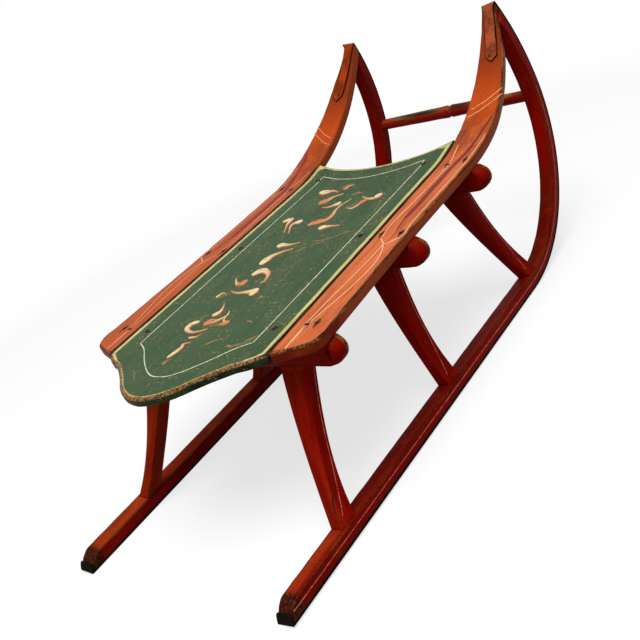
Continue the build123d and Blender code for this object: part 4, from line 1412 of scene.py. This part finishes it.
def deck_ornament():
    """The brush strokes, each cream one over a wider one in orange, and the rubbed places among them."""
    under = [stroke([(x + 1.4, along - 1.4) for x, along in points], head * 1.10, 0.20, lift=0.14)
             for points, head in CREAM_STROKES]
    cream, orange = ([stroke(*row) for row in table] for table in (CREAM_STROKES, ORANGE_STROKES))
    rubs = [painted_line(points, width, on_seat, 30, 0.07, taper_start=0.5, taper_end=0.5, seed=60 + count)
            for count, (points, width) in enumerate(RUBS)]
    thin = [stroke(points, head, 0.5) for points, head in THIN_STROKES]
    for name, strokes, paint in (("under_strokes", under, UNDER), ("cream_brush_strokes", cream, CREAM),
                                 ("orange_brush_strokes", orange, ORANGE), ("rubbed_places", rubs, RUBBED),
                                 ("thin_brush_strokes", thin, TAN)):
        make_mesh(name, strokes, paint)


deck_board(DECK_GREEN)
crossbar(BAR_RED)
for name, place, reach in BENCHES:
    bench(BENCH_RED, name, place, reach)
one_side("right")
one_side("left")
deck_pinstripe()
deck_ornament()


def shown_white(tree):
    """1 for what the camera sees, straight on or in gloss or glass, and 0 for light on the sled."""
    rays = tree.nodes.new("ShaderNodeLightPath").outputs
    shown = tree.larger(rays["Is Camera Ray"], rays["Is Glossy Ray"])
    return tree.larger(shown, rays["Is Transmission Ray"])


def pale_floor():
    """A plain pale floor with the sled's soft shade, which turns to the white of the background far off."""
    reach = 8.0
    mesh = bpy.data.meshes.new("floor")
    corners = [(-reach, -reach, 0), (reach, -reach, 0), (reach, reach, 0), (-reach, reach, 0)]
    mesh.from_pydata(corners, [], [(0, 1, 2, 3)])
    tree = Paint("pale_floor")
    path = shown_white(tree)
    unseen_grey, seen_grey = (0.25, 0.25, 0.25, 1.0), (0.93, 0.93, 0.93, 1.0)
    tree.links.new(tree.mix(path, unseen_grey, seen_grey), tree.shader.inputs["Base Color"])
    tree.shader.inputs["Roughness"].default_value = 1.0
    tree.shader.inputs["Specular IOR Level"].default_value = 0.0
    position = tree.add("ShaderNodeNewGeometry", {}, "Position")
    distance = tree.add("ShaderNodeVectorMath", {0: position}, "Value", operation="LENGTH")
    white = tree.add("ShaderNodeEmission", {"Color": WHITE, "Strength": 1.0})
    # Seen by the camera, most of the floor's white is its own, so that the shade on it stays pale
    far = tree.times(tree.larger(tree.step(distance, 0.55, 1.3), 0.72), path)
    blend = tree.add("ShaderNodeMixShader", {0: far, 1: tree.shader.outputs[0], 2: white})
    tree.links.new(blend, tree.output.inputs[0])
    mesh.materials.append(tree.material)
    floor = bpy.data.objects.new("floor", mesh)
    bpy.context.collection.objects.link(floor)


def area_light(name, place, target, size, power):
    """A round white lamp that faces a target."""
    light = bpy.data.lights.new(name, "AREA")
    light.shape = "DISK"
    light.size = size
    light.energy = power
    lamp = bpy.data.objects.new(name, light)
    lamp.location = place
    direction = Vector(target) - Vector(place)
    lamp.rotation_euler = direction.to_track_quat("-Z", "Y").to_euler()
    bpy.context.collection.objects.link(lamp)


def white_world(strength):
    """Soft light all round, seen as white behind the sled."""
    world = bpy.data.worlds.new("white_world")
    tree = Tree(world, "ShaderNodeOutputWorld")
    unseen, seen = (tree.add("ShaderNodeBackground", {"Color": WHITE, "Strength": power})
                    for power in (strength, 1.0))
    mix = tree.add("ShaderNodeMixShader", {0: shown_white(tree), 1: unseen, 2: seen})
    tree.links.new(mix, tree.output.inputs[0])
    bpy.context.scene.world = world


pale_floor()
white_world(0.3)
area_light("key", (0.4, -0.5, 2.35), (0, 0, 0.2), 1.8, 62.0)
area_light("fill", (1.2, -2.4, 1.0), (0, 0, 0.15), 1.4, 8.0)

# The camera looks down from behind and to the right of the sled
CAMERA_PLACE = (0.7673, -0.7958, 0.5940)
CAMERA_RIGHT = (0.75739725, 0.53232289, -0.37812928)
CAMERA_DOWN = (-0.02364812, -0.5563623, -0.83060325)
CAMERA_FORWARD = (-0.652526, 0.63803866, -0.40879884)
SENSOR_WIDTH, FOCAL_LENGTH = 36.0, 50.625
lens = bpy.data.cameras.new("camera")
lens.sensor_width = SENSOR_WIDTH
lens.lens = FOCAL_LENGTH
lens.clip_start = 0.01
camera = bpy.data.objects.new("camera", lens)
camera_up, camera_back = ([-value for value in axis] for axis in (CAMERA_DOWN, CAMERA_FORWARD))
camera_axes = Matrix((CAMERA_RIGHT, camera_up, camera_back)).transposed()
camera.matrix_world = Matrix.Translation(CAMERA_PLACE) @ camera_axes.to_4x4()
bpy.context.collection.objects.link(camera)
bpy.context.scene.camera = camera
bpy.context.scene.view_settings.view_transform = "Standard"
